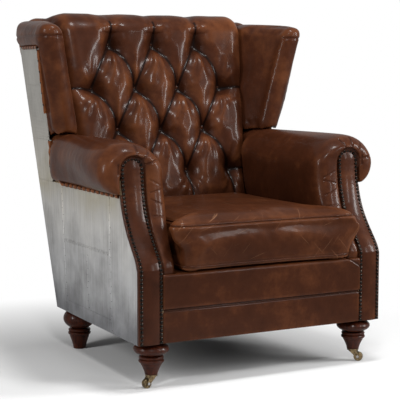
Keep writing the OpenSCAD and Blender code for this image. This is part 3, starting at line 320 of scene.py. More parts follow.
def move_points(mesh, co):
    """Puts a mesh's points at new places."""
    mesh.vertices.foreach_set("co", co.ravel())
    mesh.update()


def normals_of(mesh):
    """The directions of a mesh's points, a row each."""
    no = np.empty(len(mesh.vertices) * 3)
    mesh.vertices.foreach_get("normal", no)
    return no.reshape(-1, 3)


def neighbour_mean(mesh):
    """A function that averages a value over each point's neighbours."""
    count = len(mesh.vertices)
    ends = np.empty(len(mesh.edges) * 2, int)
    mesh.edges.foreach_get("vertices", ends)
    a, b = ends.reshape(-1, 2).T
    number = np.bincount(a, minlength=count) + np.bincount(b, minlength=count)
    number = np.maximum(number, 1)

    def mean_of_neighbours(v):
        if v.ndim == 1:
            return (np.bincount(a, v[b], count) + np.bincount(b, v[a], count)) / number
        return np.stack([mean_of_neighbours(v[:, i]) for i in range(3)], 1)

    return mean_of_neighbours


DEEPEST_PAINTED_SHADE, MOST_RUB = -0.35, 0.45


def paint_wear_and_shade(piece, gain, rounds):
    """Stores how far each point stands proud of its neighbours: lighter wear where it is proud, painted
    shade where it is sunk.
    """
    mesh = piece.data
    mean_of_neighbours = neighbour_mean(mesh)
    co, no = points_of(mesh), normals_of(mesh)
    smooth = co
    for _ in range(rounds * 2):
        smooth = mean_of_neighbours(smooth)
    proud = ((co - smooth) * no).sum(1)
    for _ in range(rounds // 2):
        proud = mean_of_neighbours(proud)
    # Below zero is painted shade in hollows and folds, down to the deepest; above zero is wear on proud
    # points.
    values = np.clip(proud * gain * 10, DEEPEST_PAINTED_SHADE, MOST_RUB)
    layer = mesh.attributes.new("wear_and_shade", "FLOAT", "POINT")
    layer.data.foreach_set("value", values.astype(np.float32))


MIDDLE = 0.423452  # from the front of the arms to the middle of the chair
RAKE = 0.245
BACK_FOOT = 0.651 - RAKE * 0.131
PAD_THICK = 0.1316
BUTTON_ROWS = (
    (0.972, (-2, 0, 2)), (0.830, (-3, -1, 1, 3)), (0.695, (-2, 0, 2)), (0.560, (-3, -1, 1, 3)),
)
TOP_ROW, UPPER_ROW, LOW_ROW = BUTTON_ROWS[0][0], BUTTON_ROWS[1][0], BUTTON_ROWS[3][0]
HALF_PITCH = 0.0785
BUTTONS = [(k * HALF_PITCH, z) for z, ks in BUTTON_ROWS for k in ks]
DEEP = 0.050
CREST_FOLDS_END, LOW_FOLDS_END = 1.125, 0.40
BOW_OUT, BOW_UP = 0.020, 0.012
CREST_LEAN, CREST_BOW, LOW_BOW = 0.006, 0.008, 0.006
WING_FOLD_X, WING_FOLD_RISE = 0.4, 0.006


def back_y(z):
    """The depth of the back's frame at a height."""
    return BACK_FOOT + RAKE * z


def pad_y(z):
    """The depth of the padding's face at a height."""
    return back_y(z) - PAD_THICK


def pad_half(z):
    """Half the padding's width at a height."""
    return 0.301 + 0.0909 * (z - 0.647)


def bowed(ax, az, bx, bz, out, up):
    """A fold between two buttons, bowed outwards, as short straight pieces."""
    mx, mz = (ax + bx) / 2 + out, (az + bz) / 2 + up
    spots = []
    for i in range(7):
        t = i / 6
        spots.append((
            (1 - t) ** 2 * ax + 2 * t * (1 - t) * mx + t * t * bx,
            (1 - t) ** 2 * az + 2 * t * (1 - t) * mz + t * t * bz,
        ))
    return [(*spots[i], *spots[i + 1]) for i in range(6)]


def fold_lines():
    """All the folds: between the rows, over the crest, down to the seat, and to the wings."""
    lines = []
    for (z, ks), (z_below, _) in zip(BUTTON_ROWS, BUTTON_ROWS[1:]):
        for k in ks:
            for s in (-1, 1):
                if abs(k + s) <= 3:
                    lines += bowed(k * HALF_PITCH, z, (k + s) * HALF_PITCH, z_below, s * BOW_OUT, BOW_UP)
    for k in BUTTON_ROWS[0][1]:
        at = k * HALF_PITCH
        lines += bowed(at, TOP_ROW, at - CREST_LEAN, CREST_FOLDS_END, CREST_BOW, 0)
    for k in BUTTON_ROWS[3][1]:
        at = k * HALF_PITCH
        lines += bowed(at, LOW_ROW, at, LOW_FOLDS_END, LOW_BOW if k > 0 else -LOW_BOW, 0)
    for s in (-1, 1):
        for z in (UPPER_ROW, LOW_ROW):
            lines.append((s * 3 * HALF_PITCH, z, s * WING_FOLD_X, z + WING_FOLD_RISE))
    return lines


FAR = 9.0
PUFF_REACH = 0.062
WRINKLE_AT, WRINKLE_RISE = 0.038, 0.0030
HOLLOW_R, PINCH_R = 0.040, 0.022
REST_LIFT, CREST_LIFT, PLAIN_LIFT = 0.032, 0.043, 0.035
CREST_FROM, CREST_OVER = 0.985, 0.05
EDGE_ROUND, EDGE_TOP = 0.05, 1.05
PLAIN_FROM, PLAIN_OVER = 0.50, 0.06


def tuft(x, q):
    """How far the hide lies behind the padding's crown, and how far off the next fold is."""
    near = np.full(x.shape, FAR)
    for ax, az, bx, bz in fold_lines():
        dx, dz = bx - ax, bz - az
        t = np.clip(((x - ax) * dx + (q - az) * dz) / (dx * dx + dz * dz), 0, 1)
        near = np.minimum(near, np.hypot(x - ax - t * dx, q - az - t * dz))
    knob = np.full(x.shape, FAR)
    gather = np.zeros(x.shape)
    for n, (bx, bz) in enumerate(BUTTONS):
        d = np.hypot(x - bx, q - bz)
        knob = np.minimum(knob, d)
        down = np.arctan2(x - bx, bz - q)
        spread = np.exp(-((down / 0.75) ** 2)) + 0.6 * np.exp(-(((np.pi - np.abs(down)) / 0.6) ** 2))
        fade = (d / WRINKLE_AT) * np.exp(1 - d / WRINKLE_AT)
        gather += spread * fade * np.sin(15 * down + 2.1 * n + 30 * d)
    t = np.clip(near / PUFF_REACH, 0, 1)
    round_up = 0.55 * np.sqrt(1 - (1 - t) ** 2) + 0.45 * np.sin(t * np.pi / 2) ** 2
    hollow = np.exp(-((knob / HOLLOW_R) ** 2))
    round_up = round_up * (1 - 0.72 * np.exp(-((knob / PINCH_R) ** 2)))
    rest = REST_LIFT * (1 - hollow)
    rest = np.maximum(rest, CREST_LIFT * np.clip((q - CREST_FROM) / CREST_OVER, 0, 1))
    lift = rest + (DEEP - rest) * round_up
    lift = lift + WRINKLE_RISE * gather * np.clip(t * 6, 0, 1)
    edge = np.clip((pad_half(np.minimum(q, EDGE_TOP)) - np.abs(x)) / EDGE_ROUND, 0, 1)
    lift = lift * (0.35 + 0.65 * np.sqrt(1 - (1 - edge) ** 2))
    plain = np.clip((PLAIN_FROM - q) / PLAIN_OVER, 0, 1)
    lift = lift * (1 - plain) + PLAIN_LIFT * plain
    return DEEP - lift, near


PUFF_FRONT = 0.0262
CREST_Z, CREST_RISE = 0.9997, 0.0698
CREST_START = math.pi - math.radians(10.8)
CREST_JOIN = CREST_Z + CREST_RISE * math.sin(CREST_START)
CREST_REAR = back_y(1.0) + 0.0105
CREST_HALF = (CREST_REAR - pad_y(CREST_JOIN) + PUFF_FRONT) / (1 - math.cos(CREST_START))
CREST_Y = CREST_REAR - CREST_HALF
CREST_END = math.radians(-38)
LOWEST = 0.335
ROW_STEP, ACROSS = 0.0036, 190
SPREAD_FROM, SPREAD_OVER, SPREAD, SPREAD_TOP = 1.045, 0.07, 0.080, 1.06
TUCK = 0.004
BEHIND_FROM, BEHIND_OVER = 1.11, 0.08
SLACK, HIDE_THICK = 0.0022, 0.005
DROOP, DROOP_MORE, DROOP_FROM, DROOP_OVER = 0.010, 0.022, 0.98, 0.05


def back_path(step):
    """Points up the back's face, over the crest and down behind it, with their normals."""
    points = []
    length = math.hypot(1, RAKE)
    q = LOWEST
    while q < CREST_JOIN:
        points.append((q, pad_y(q) - PUFF_FRONT, q, -1 / length, RAKE / length))
        q += step
    angle = CREST_START
    while angle > CREST_END:
        c, s = math.cos(angle), math.sin(angle)
        n = Vector((c / CREST_HALF, s / CREST_RISE)).normalized()
        points.append((q, CREST_Y + CREST_HALF * c, CREST_Z + CREST_RISE * s, n.x, n.y))
        angle -= step / math.hypot(CREST_HALF * s, CREST_RISE * c)
        q += step
    return points


path = back_path(ROW_STEP)
bpy.ops.object.select_all(action="DESELECT")
bpy.ops.mesh.primitive_grid_add(x_subdivisions=ACROSS, y_subdivisions=len(path) - 1, size=2)
tufted_back = bpy.context.object
tufted_back.name = "tufted_back"
mesh = tufted_back.data
co = points_of(mesh)
u = co[:, 0]
row = np.rint((co[:, 1] + 1) / 2 * (len(path) - 1)).astype(int)
table = np.array(path)[row]
q, py, pz, ny, nz = table.T
past = np.clip((q - SPREAD_FROM) / SPREAD_OVER, 0, 1)
past = past * past * (3 - 2 * past)
x = u * (pad_half(np.minimum(pz, SPREAD_TOP)) + TUCK + SPREAD * past)
sink, near = tuft(x, q)
behind = np.clip((q - BEHIND_FROM) / BEHIND_OVER, 0, 1)
sink = sink * (1 - behind)
slack = np.array([noise.noise((a * 14, b * 14, 3.7)) for a, b in zip(x, q)])
sink = sink - SLACK * slack
sink = np.maximum(sink, 0)
order = np.lexsort((u, row))
grid = sink[order].reshape(len(path), -1)
for _ in range(2):
    grid[1:-1] = 0.5 * grid[1:-1] + 0.25 * (grid[:-2] + grid[2:])
    grid[:, 1:-1] = 0.5 * grid[:, 1:-1] + 0.25 * (grid[:, :-2] + grid[:, 2:])
sink[order] = grid.ravel()
ends = np.clip((np.abs(u) - 0.88) / 0.12, 0, 1) ** 2
pz = pz - (DROOP * np.clip((q - DROOP_FROM) / DROOP_OVER, 0, 1) + DROOP_MORE * past) * ends
move_points(mesh, np.stack([x, py - ny * sink - MIDDLE, pz - nz * sink], 1))
select_only(tufted_back)
bpy.ops.object.mode_set(mode="EDIT")
bpy.ops.mesh.select_all(action="SELECT")
bpy.ops.mesh.normals_make_consistent(inside=False)
bpy.ops.object.mode_set(mode="OBJECT")
if mesh.polygons[len(mesh.polygons) // 3].normal.y > 0:
    mesh.flip_normals()
wall = tufted_back.modifiers.new("wall", "SOLIDIFY")
wall.thickness = HIDE_THICK
wall.offset = -1
bpy.ops.object.modifier_apply(modifier="wall")
bpy.ops.object.shade_smooth()
paint_wear_and_shade(tufted_back, gain=5, rounds=6)
# Painted shade along the folds: the stored wear and painted shade is darkened in a thin line at each
# fold, up to the crest.
FOLD_PAINTED_SHADE, FOLD_WIDE, FOLDS_TO = 0.4, 0.0028, 1.06
rubbed = np.empty(len(mesh.vertices), np.float32)
mesh.attributes["wear_and_shade"].data.foreach_get("value", rubbed)
rubbed[:len(near)] -= FOLD_PAINTED_SHADE * np.exp(-((near / FOLD_WIDE) ** 2)) * (q < FOLDS_TO)
mesh.attributes["wear_and_shade"].data.foreach_set("value", rubbed)
paint(tufted_back, dark_hide)
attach(tufted_back, "frame")
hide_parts("back_pad", "top_roll")


# The buttons: fourteen metal shells with hide drawn over them, each pulled deep into the
# padding by a twine that is tied off behind it.
KNOB_R, KNOB_FLAT, KNOB_DEPTH = 0.0115, 0.62, 0.0265


def join_all(pieces, name):
    """Makes one piece of several."""
    select_only(pieces[0])
    for piece in pieces:
        piece.select_set(True)
    bpy.ops.object.join()
    made = bpy.context.object
    made.name = name
    return made


bpy.ops.object.select_all(action="DESELECT")
knobs = []
for bx, bz in BUTTONS:
    bpy.ops.mesh.primitive_uv_sphere_add(segments=24, ring_count=14, radius=KNOB_R)
    knob = bpy.context.object
    knob.data.transform(Matrix.Diagonal((1, 1, KNOB_FLAT, 1)))
    tilt = Matrix.Rotation(math.radians(90) - math.atan(RAKE), 4, "X")
    knob.data.transform(Matrix.Translation((bx, pad_y(bz) + KNOB_DEPTH - MIDDLE, bz)) @ tilt)
    knobs.append(knob)
buttons = join_all(knobs, "covered_buttons")
bpy.ops.object.transform_apply(location=True, rotation=True, scale=True)
bpy.ops.object.shade_smooth()
paint(buttons, dark_hide)
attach(buttons, "frame")
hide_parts("back_buttons")


# The wings: padded boards, the hide rolled round their front edges and over their tops,
# and nailed to the metal outside. One folded seam crosses each front roll.
MERGE = 0.00002


def copy_of(name, *sources):
    """A new piece with the shape of some CAD nodes, their loose triangles merged."""
    bpy.ops.object.select_all(action="DESELECT")
    for source in sources:
        made = bpy.data.objects.new(name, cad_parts[source].data.copy())
        bpy.context.collection.objects.link(made)
        made.select_set(True)
        bpy.context.view_layer.objects.active = made
    if len(sources) > 1:
        bpy.ops.object.join()
    made = bpy.context.object
    made.name = name
    bpy.ops.object.mode_set(mode="EDIT")
    bpy.ops.mesh.select_all(action="SELECT")
    bpy.ops.mesh.remove_doubles(threshold=MERGE)
    bpy.ops.object.mode_set(mode="OBJECT")
    return made


def apply(piece, kind, **settings):
    """Adds a modifier and applies it."""
    select_only(piece)
    made = piece.modifiers.new(kind.lower(), kind)
    for key, value in settings.items():
        setattr(made, key, value)
    bpy.ops.object.modifier_apply(modifier=made.name)


PRESSURE, LAST_FRAME = 4.0, 20


def swell(piece, cap):
    """Blows a padded cover up as its filling would, no point further than the cap."""
    start = points_of(piece.data)
    select_only(piece)
    bpy.ops.object.modifier_add(type="CLOTH")
    cloth = piece.modifiers[-1]
    cloth.settings.quality = 5
    cloth.settings.mass = 0.4
    cloth.settings.use_pressure = True
    cloth.settings.uniform_pressure_force = PRESSURE
    cloth.settings.effector_weights.gravity = 0
    cloth.point_cache.frame_start = 1
    cloth.point_cache.frame_end = LAST_FRAME
    for f in range(1, LAST_FRAME + 1):
        bpy.context.scene.frame_set(f)
    held = piece.evaluated_get(bpy.context.evaluated_depsgraph_get())
    end = points_of(held.data)
    piece.modifiers.remove(cloth)
    bpy.context.scene.frame_set(1)
    move = end - start
    size = np.linalg.norm(move, axis=1, keepdims=True)
    move_points(piece.data, start + move * np.minimum(1, cap / np.maximum(size, 1e-9)))


def soften(piece, voxel, rounds, levels, cap=0.0, shrink=0.0):
    """Wraps a piece in one even skin, rounds its edges and lets its filling push."""
    if shrink:
        apply(piece, "DISPLACE", strength=-shrink, mid_level=0)
    apply(piece, "REMESH", mode="VOXEL", voxel_size=voxel, use_smooth_shade=True)
    apply(piece, "SMOOTH", factor=0.5, iterations=rounds)
    if cap:
        swell(piece, cap)
        apply(piece, "SMOOTH", factor=0.5, iterations=2)
    if levels:
        apply(piece, "SUBSURF", levels=levels, render_levels=levels)
    select_only(piece)
    bpy.ops.object.shade_smooth()


def press(piece, depth, reach, distance):
    """Draws a line into a piece: each point goes in by how near the line it is."""
    mesh = piece.data
    co = points_of(mesh)
    near = np.array(distance(co))
    pull = depth * np.clip(1 - (near / reach) ** 2, 0, 1)
    move_points(mesh, co - normals_of(mesh) * pull[:, None])


def ease(piece, share, rounds):
    """Rounds a piece off further where share is near 1."""
    mesh = piece.data
    co = points_of(mesh)
    mean_of_neighbours = neighbour_mean(mesh)
    weight = np.array(share(co))[:, None] * 0.6
    for _ in range(rounds):
        co = co + weight * (mean_of_neighbours(co) - co)
    move_points(mesh, co)


WING_SEAM, SEAM_FROM_X = 0.990, 0.395
SIDES = ("left", "right")


def wing_seam(p):
    """How far a point of the front roll lies from the wing's seam."""
    return np.where(np.abs(p[:, 0]) > SEAM_FROM_X, np.abs(p[:, 2] - WING_SEAM), 1)


for side in SIDES:
    wing = copy_of(f"wing_{side}", f"wing_pad_{side}")
    soften(wing, voxel=0.0058, rounds=12, levels=1, cap=0.004, shrink=0.001)
    press(wing, depth=0.0022, reach=0.0050, distance=wing_seam)
    paint_wear_and_shade(wing, gain=5, rounds=10)
    paint(wing, dark_hide)
    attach(wing, "frame")
    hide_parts(f"wing_pad_{side}")


# The arms: rolled tops of horsehair and wadding over rails. Their fronts are padded edges,
# pleated round the roll, and narrow boards covered in hide below.
STRIP_MID, ROLL_H, STRIP_HALF = 0.366, 0.610, 0.0355
SWEEP, SWEEP_FROM = 0.122, 0.340
PLEATS = {"left": (104, 139, 163), "right": (7, 46, 76, 108)}  # degrees round the roll
CREASES = ((0.575, 0.5), (0.545, -0.2), (0.520, 0.4), (0.478, 0.1))  # height and lean
TAB_OUT, TAB_HALF = 0.047, 0.016
FACE_DEEP, FACE_FROM, FACE_TO = 0.02, 0.002, 0.055
ROUND_DEEP, EASE_OVER, EASE_DEEP = 0.050, 0.02, 0.06
REAR_OVER = 0.03


def strip_distance(p):
    """How far a point lies outside the edge of the front strip, seen from the front."""
    out, up = np.abs(p[:, 0]) - STRIP_MID, p[:, 2] - ROLL_H
    return np.hypot(out, np.maximum(up, 0)) - STRIP_HALF


def behind_front(p):
    """How far a point lies behind the swept front of the arms."""
    share = np.maximum(0, p[:, 2] - SWEEP_FROM) / (ROLL_H - SWEEP_FROM)
    return p[:, 1] + MIDDLE - SWEEP * (1 - np.exp(-((share / 0.4) ** 1.5)))


def pleat_distance(p, side):
    """How far a point lies from the pleats and creases of the padded edge."""
    out, up = np.abs(p[:, 0]) - STRIP_MID, p[:, 2] - ROLL_H
    far = np.hypot(out, up)
    turn = np.arctan2(up, out)
    near = np.full(len(p), FAR)
    for a in PLEATS[side]:
        near = np.minimum(near, far * np.abs(turn - math.radians(a)))
    for z, lean in CREASES:
        slant = np.abs(p[:, 2] - z - lean * (out + 0.06)) + 0.0015
        near = np.where(out < -0.05, np.minimum(near, slant), near)
    tab = np.abs(out - TAB_OUT)
    near = np.where((np.abs(up) < TAB_HALF) & (out > 0), np.minimum(near, tab), near)
    gap = strip_distance(p)
    on_face = (behind_front(p) < FACE_DEEP) & (gap > FACE_FROM) & (gap < FACE_TO)
    return near + np.where(on_face, 0, 1)


def round_front(p):
    """Draws the front of a padded arm in towards its strip, most of all over the roll."""
    front = np.clip(1 - behind_front(p) / ROUND_DEEP, 0, 1)
    out, up = np.abs(p[:, 0]) - STRIP_MID, p[:, 2] - ROLL_H
    far = np.hypot(out, np.maximum(up, 0)) + 1e-9
    gap = np.maximum(0, far - STRIP_HALF)
    pull = gap * (0.10 + 0.30 * np.clip(up / 0.06, 0, 1)) * front ** 2
    p = p.copy()
    p[:, 0] -= np.sign(p[:, 0]) * pull * out / far
    p[:, 2] -= pull * np.maximum(up, 0) / far
    return p


def front_share(p):
    """How near a point is to the front of the roll, outside the strip."""
    outside = np.clip(strip_distance(p) / EASE_OVER, 0, 1)
    return outside * np.clip(1 - behind_front(p) / EASE_DEEP, 0, 1)


def rear_share(p):
    """1 for the points well behind the front of the arms."""
    return np.clip((behind_front(p) - FACE_DEEP) / REAR_OVER, 0, 1)


def strip_edge(p):
    """How far a point at the front lies from the edge of the strip."""
    return np.abs(strip_distance(p)) + (behind_front(p) > FACE_DEEP)


STRIP_BULGE, BULGE_HALF = 0.0045, 0.026
for side in SIDES:
    arm = copy_of(f"arm_{side}", f"arm_pad_{side}", f"arm_ring_{side}")
    soften(arm, voxel=0.0055, rounds=10, levels=0, cap=0.004)
    move_points(arm.data, round_front(points_of(arm.data)))
    ease(arm, front_share, rounds=26)
    ease(arm, rear_share, rounds=44)
    apply(arm, "SUBSURF", levels=1, render_levels=1)
    press(arm, depth=0.0026, reach=0.0036, distance=lambda p: pleat_distance(p, side))
    press(arm, depth=0.0030, reach=0.0060, distance=strip_edge)
    select_only(arm)
    bpy.ops.object.shade_smooth()
    paint_wear_and_shade(arm, gain=7, rounds=10)
    paint(arm, dark_hide)
    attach(arm, "frame")
    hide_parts(f"arm_pad_{side}", f"arm_ring_{side}")

    strip = copy_of(f"front_strip_{side}", f"arm_strip_{side}")
    soften(strip, voxel=0.0028, rounds=3, levels=0)
    co, no = points_of(strip.data), normals_of(strip.data)
    out, up = np.abs(co[:, 0]) - STRIP_MID, np.maximum(co[:, 2] - ROLL_H, 0)
    round_across = np.clip(1 - (np.hypot(out, up) / BULGE_HALF) ** 2, 0, 1)
    co[:, 1] -= STRIP_BULGE * round_across * np.clip((-no[:, 1] - 0.3) / 0.4, 0, 1)
    move_points(strip.data, co)
    paint(strip, dark_hide)
    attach(strip, "frame")
    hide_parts(f"arm_strip_{side}")


# The borders below the cushion: two strips of hide, one above the other, drawn over padded
# boards and sewn together along one seam. The upper one has a fold at its right end.
BORDER_SEAM, BORDER_WIDEN = 0.2235, 1.006
FOLD_X, FOLD_Z, FOLD_SLOPE = 0.285, 0.329, 0.62


def border_seam(p):
    """How far a point at the front lies from the seam between the borders."""
    return np.abs(p[:, 2] - BORDER_SEAM) + (p[:, 1] > -MIDDLE + 0.010)


def corner_fold(p):
    """How far a point at the right lies from the fold in the upper border."""
    return np.abs((p[:, 0] - FOLD_X) * FOLD_SLOPE + (p[:, 2] - FOLD_Z)) + (p[:, 0] < FOLD_X - 0.001)


borders = copy_of("front_borders", "border_lower", "border_upper")
soften(borders, voxel=0.004, rounds=4, levels=1)
borders.data.transform(Matrix.Diagonal((BORDER_WIDEN, 1, 1, 1)))
press(borders, depth=0.0045, reach=0.0045, distance=border_seam)
press(borders, depth=0.0022, reach=0.0040, distance=corner_fold)
paint_wear_and_shade(borders, gain=6, rounds=8)
paint(borders, warm_hide)
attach(borders, "frame")
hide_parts("border_lower", "border_upper")


# The loose seat cushion: feather and foam in a boxed hide cover, sat on for years, with a
# thin welt sewn into its upper and its lower seam.
def level_loop(piece, height, step):
    """Even points round the outside of a piece at one height, in order."""
    shell = bmesh.new()
    shell.from_mesh(piece.data)
    cut = bmesh.ops.bisect_plane(
        shell, geom=shell.verts[:] + shell.edges[:] + shell.faces[:],
        plane_co=(0, 0, height), plane_no=(0, 0, 1),
    )
    edges = [e for e in cut["geom_cut"] if isinstance(e, bmesh.types.BMEdge)]
    joined = {}
    for e in edges:
        for v in e.verts:
            joined.setdefault(v, []).append(e)
    longest = []
    left = set(edges)
    while left:
        edge = left.pop()
        first, v = edge.verts
        loop = [first.co.copy(), v.co.copy()]
        while v is not first:
            more = [e for e in joined[v] if e in left]
            if not more:
                break
            left.discard(more[0])
            v = more[0].other_vert(v)
            loop.append(v.co.copy())
        if len(loop) > len(longest):
            longest = loop
    shell.free()
    points = np.array(longest)
    gaps = np.linalg.norm(np.diff(points, axis=0), axis=1)
    run = np.concatenate([[0], np.cumsum(gaps)])
    at = np.linspace(0, run[-1], int(run[-1] / step) + 1)[:-1]
    return np.stack([np.interp(at, run, points[:, i]) for i in range(3)], 1)


def tube(name, points, radius, closed=False):
    """A round cord through some points, of one radius or of one for each, made a mesh."""
    curve = bpy.data.curves.new(name, "CURVE")
    curve.dimensions = "3D"
    radii = np.broadcast_to(radius, len(points)).astype(float)
    curve.bevel_depth = radii.max()
    curve.bevel_resolution = 2
    curve.use_fill_caps = not closed
    line = curve.splines.new("POLY")
    line.points.add(len(points) - 1)
    line.points.foreach_set("co", np.hstack([points, np.ones((len(points), 1))]).ravel())
    line.points.foreach_set("radius", radii / radii.max())
    line.use_cyclic_u = closed
    made = bpy.data.objects.new(name, curve)
    bpy.context.collection.objects.link(made)
    select_only(made)
    bpy.ops.object.convert(target="MESH")
    made = bpy.context.object
    made.name = name
    bpy.ops.object.shade_smooth()
    return made


TOP_SEAM, LOW_SEAM = 0.4585, 0.3425
WELT_R, WELT_STEP = 0.0030, 0.006
CORNER_X, CORNER_FROM, CORNER_PULL = 0.318, 0.20, 0.045
cushion = copy_of("loose_cushion", "seat_cushion")
soften(cushion, voxel=0.0072, rounds=4, levels=1, cap=0.006, shrink=0.003)
co = points_of(cushion.data)
front = np.clip((0.001 - co[:, 1] - MIDDLE) / 0.006, 0, 1)
low = np.clip((0.460 - co[:, 2]) / 0.03, 0, 1)
out = co[:, 0] - CORNER_FROM
outer = np.clip(out / 0.09, 0, 1) * np.clip(out / 0.07, 0, 1)
co[:, 0] += front * low * outer * np.clip(CORNER_X - co[:, 0], 0, CORNER_PULL)
move_points(cushion.data, co)
for seam in (TOP_SEAM, LOW_SEAM):
    press(cushion, depth=0.0022, reach=0.006, distance=lambda p: np.abs(p[:, 2] - seam))
paint_wear_and_shade(cushion, gain=5, rounds=10)
paint(cushion, seat_hide)
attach(cushion, "cushion")
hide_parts("seat_cushion")
for name, seam in (("upper_welt", TOP_SEAM), ("lower_welt", LOW_SEAM)):
    welt = tube(name, level_loop(cushion, seam, WELT_STEP), WELT_R, closed=True)
    paint(welt, seat_hide)
    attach(welt, "cushion")


# The metal: thin aluminium sheets over the sides and the rear, brushed by hand up and down,
# darker and bluer low down, greyer high up, their edges held under the nailed leather.
BRUSHED = [(0.28, (0.32, 0.30, 0.27)), (0.50, (0.58, 0.57, 0.555)), (0.72, (0.76, 0.76, 0.75))]
HEIGHT_TONES = [
    (0.30, (0.34, 0.35, 0.38)), (0.50, (0.86, 0.87, 0.89)), (0.64, (1.0, 0.99, 0.97)),
    (0.74, (0.78, 0.73, 0.61)), (0.82, (0.88, 0.85, 0.79)), (0.95, (0.70, 0.68, 0.64)),
]


def brushed_sheet(name):
    """Streaky metal, its colour set by its height: darker and bluer at the bottom, greyer at the top."""
    made, nodes, links = new_material(name)
    place = nodes.new("ShaderNodeTexCoord").outputs["Object"]
    streaks = noise_at(nodes, links, place, scale=1, detail=5, roughness=0.7, stretch=(150, 150, 3))
    clouds = noise_at(nodes, links, place, scale=5, detail=5, roughness=0.6)
    half = combined(nodes, links, "MULTIPLY", clouds, 0.5)
    hue = ramp(nodes, BRUSHED)
    links.new(combined(nodes, links, "MULTIPLY_ADD", streaks, 0.5, half), hue.inputs["Fac"])
    # Colour by height and clouds: darker and bluer at the bottom, palest part way up, then yellowish,
    # then greyer towards the top.
    split = nodes.new("ShaderNodeSeparateXYZ")
    links.new(place, split.inputs[0])
    height_tone = ramp(nodes, HEIGHT_TONES)
    links.new(combined(nodes, links, "MULTIPLY_ADD", clouds, 0.35, split.outputs["Z"]), height_tone.inputs["Fac"])
    height_toned = nodes.new("ShaderNodeMix")
    height_toned.data_type = "RGBA"
    height_toned.blend_type = "MULTIPLY"
    height_toned.inputs["Factor"].default_value = 1
    links.new(hue.outputs["Color"], height_toned.inputs["A"])
    links.new(height_tone.outputs["Color"], height_toned.inputs["B"])
    shader = nodes.new("ShaderNodeBsdfPrincipled")
    links.new(height_toned.outputs["Result"], shader.inputs["Base Color"])
    shader.inputs["Metallic"].default_value = 0.85
    roughness_from(nodes, links, shader, streaks, 0.38, 0.62)
    brushing = bump_from(nodes, links, streaks, strength=0.25, distance=0.001)
    finish_material(nodes, links, shader, brushing)
    return made


height_toned_sheet = brushed_sheet("height_toned_sheet")
for node in ("side_panel_left", "side_panel_right", "wing_panel_left", "wing_panel_right", "back_panel"):
    paint(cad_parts[node], height_toned_sheet)


# The small metal: nails of black bronze with domed heads, casters of cast brass gone dull
# with age, and springs, clips, bolts and axles of drawn steel.
def plain_metal(name, dark, light, roughness):
    """Bare metal, tarnished in spots."""
    made, nodes, links = new_material(name)
    place = nodes.new("ShaderNodeTexCoord").outputs["Object"]
    tone = noise_at(nodes, links, place, scale=160, detail=3, roughness=0.6)
    hue = ramp(nodes, [(0.35, dark), (0.65, light)])
    links.new(tone, hue.inputs["Fac"])
    shader = nodes.new("ShaderNodeBsdfPrincipled")
    links.new(hue.outputs["Color"], shader.inputs["Base Color"])
    shader.inputs["Metallic"].default_value = 1
    roughness_from(nodes, links, shader, tone, roughness - 0.08, roughness + 0.12)
    finish_material(nodes, links, shader)
    return made


nail_metal = plain_metal("black_bronze", (0.006, 0.005, 0.0045), (0.032, 0.027, 0.023), roughness=0.24)
old_brass = plain_metal("old_brass", (0.05, 0.035, 0.02), (0.30, 0.22, 0.12), roughness=0.30)
plain_steel = plain_metal("plain_steel", (0.30, 0.30, 0.31), (0.48, 0.48, 0.49), roughness=0.35)
for side in SIDES:
    paint(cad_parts[f"arm_nails_{side}"], nail_metal)
    for piece in ("socket", "fork", "wheel"):
        paint(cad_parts[f"caster_{piece}_{side}"], old_brass)
    paint(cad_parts[f"caster_axle_{side}"], plain_steel)
for node in ("seat_springs", "spring_clips", "hanger_bolts"):
    paint(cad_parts[node], plain_steel)


# The joints of the sheets: narrow folded seams with dented rivets along them, and a row of
# stitches across the middle sheet.
def sheet_tree(side):
    """The sheets of one side, ready for rays."""
    points, faces = [], []
    for name in (f"side_panel_{side}", f"wing_panel_{side}"):
        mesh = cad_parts[name].data
        faces += [[len(points) + v for v in p.vertices] for p in mesh.polygons]
        points += [v.co.copy() for v in mesh.vertices]
    return BVHTree.FromPolygons(points, faces)


def on_metal(tree, side, y, z):
    """The place and the outward direction of the metal at a height and a depth."""
    s = -1 if side == "left" else 1
    hit = tree.ray_cast(Vector((s, y - MIDDLE, z)), Vector((-s, 0, 0)))
    if hit[0] is None:
        return None, None
    normal = hit[1] if hit[1].x * s > 0 else -hit[1]
    return hit[0], normal


def spaced(stops, pitch):
    """Places a pitch apart along a run of straight lines."""
    made = []
    for (ay, az), (by, bz) in zip(stops, stops[1:]):
        length = math.hypot(by - ay, bz - az)
        count = max(1, round(length / pitch))
        made += [(ay + (by - ay) * i / count, az + (bz - az) * i / count) for i in range(count)]
    return made + [stops[-1]]


def bead(mesh, place, normal, radius, rise):
    """Adds a small round head on a surface."""
    turn = normal.to_track_quat("Z", "Y").to_matrix().to_4x4()
    shape = Matrix.Translation(place) @ turn @ Matrix.Diagonal((radius, radius, rise, 1))
    bmesh.ops.create_icosphere(mesh, subdivisions=1, radius=1, matrix=shape)


def from_bmesh(name, mesh):
    """A new smooth piece from a bmesh."""
    data = bpy.data.meshes.new(name)
    mesh.to_mesh(data)
    mesh.free()
    made = bpy.data.objects.new(name, data)
    bpy.context.collection.objects.link(made)
    data.polygons.foreach_set("use_smooth", [True] * len(data.polygons))
    return made


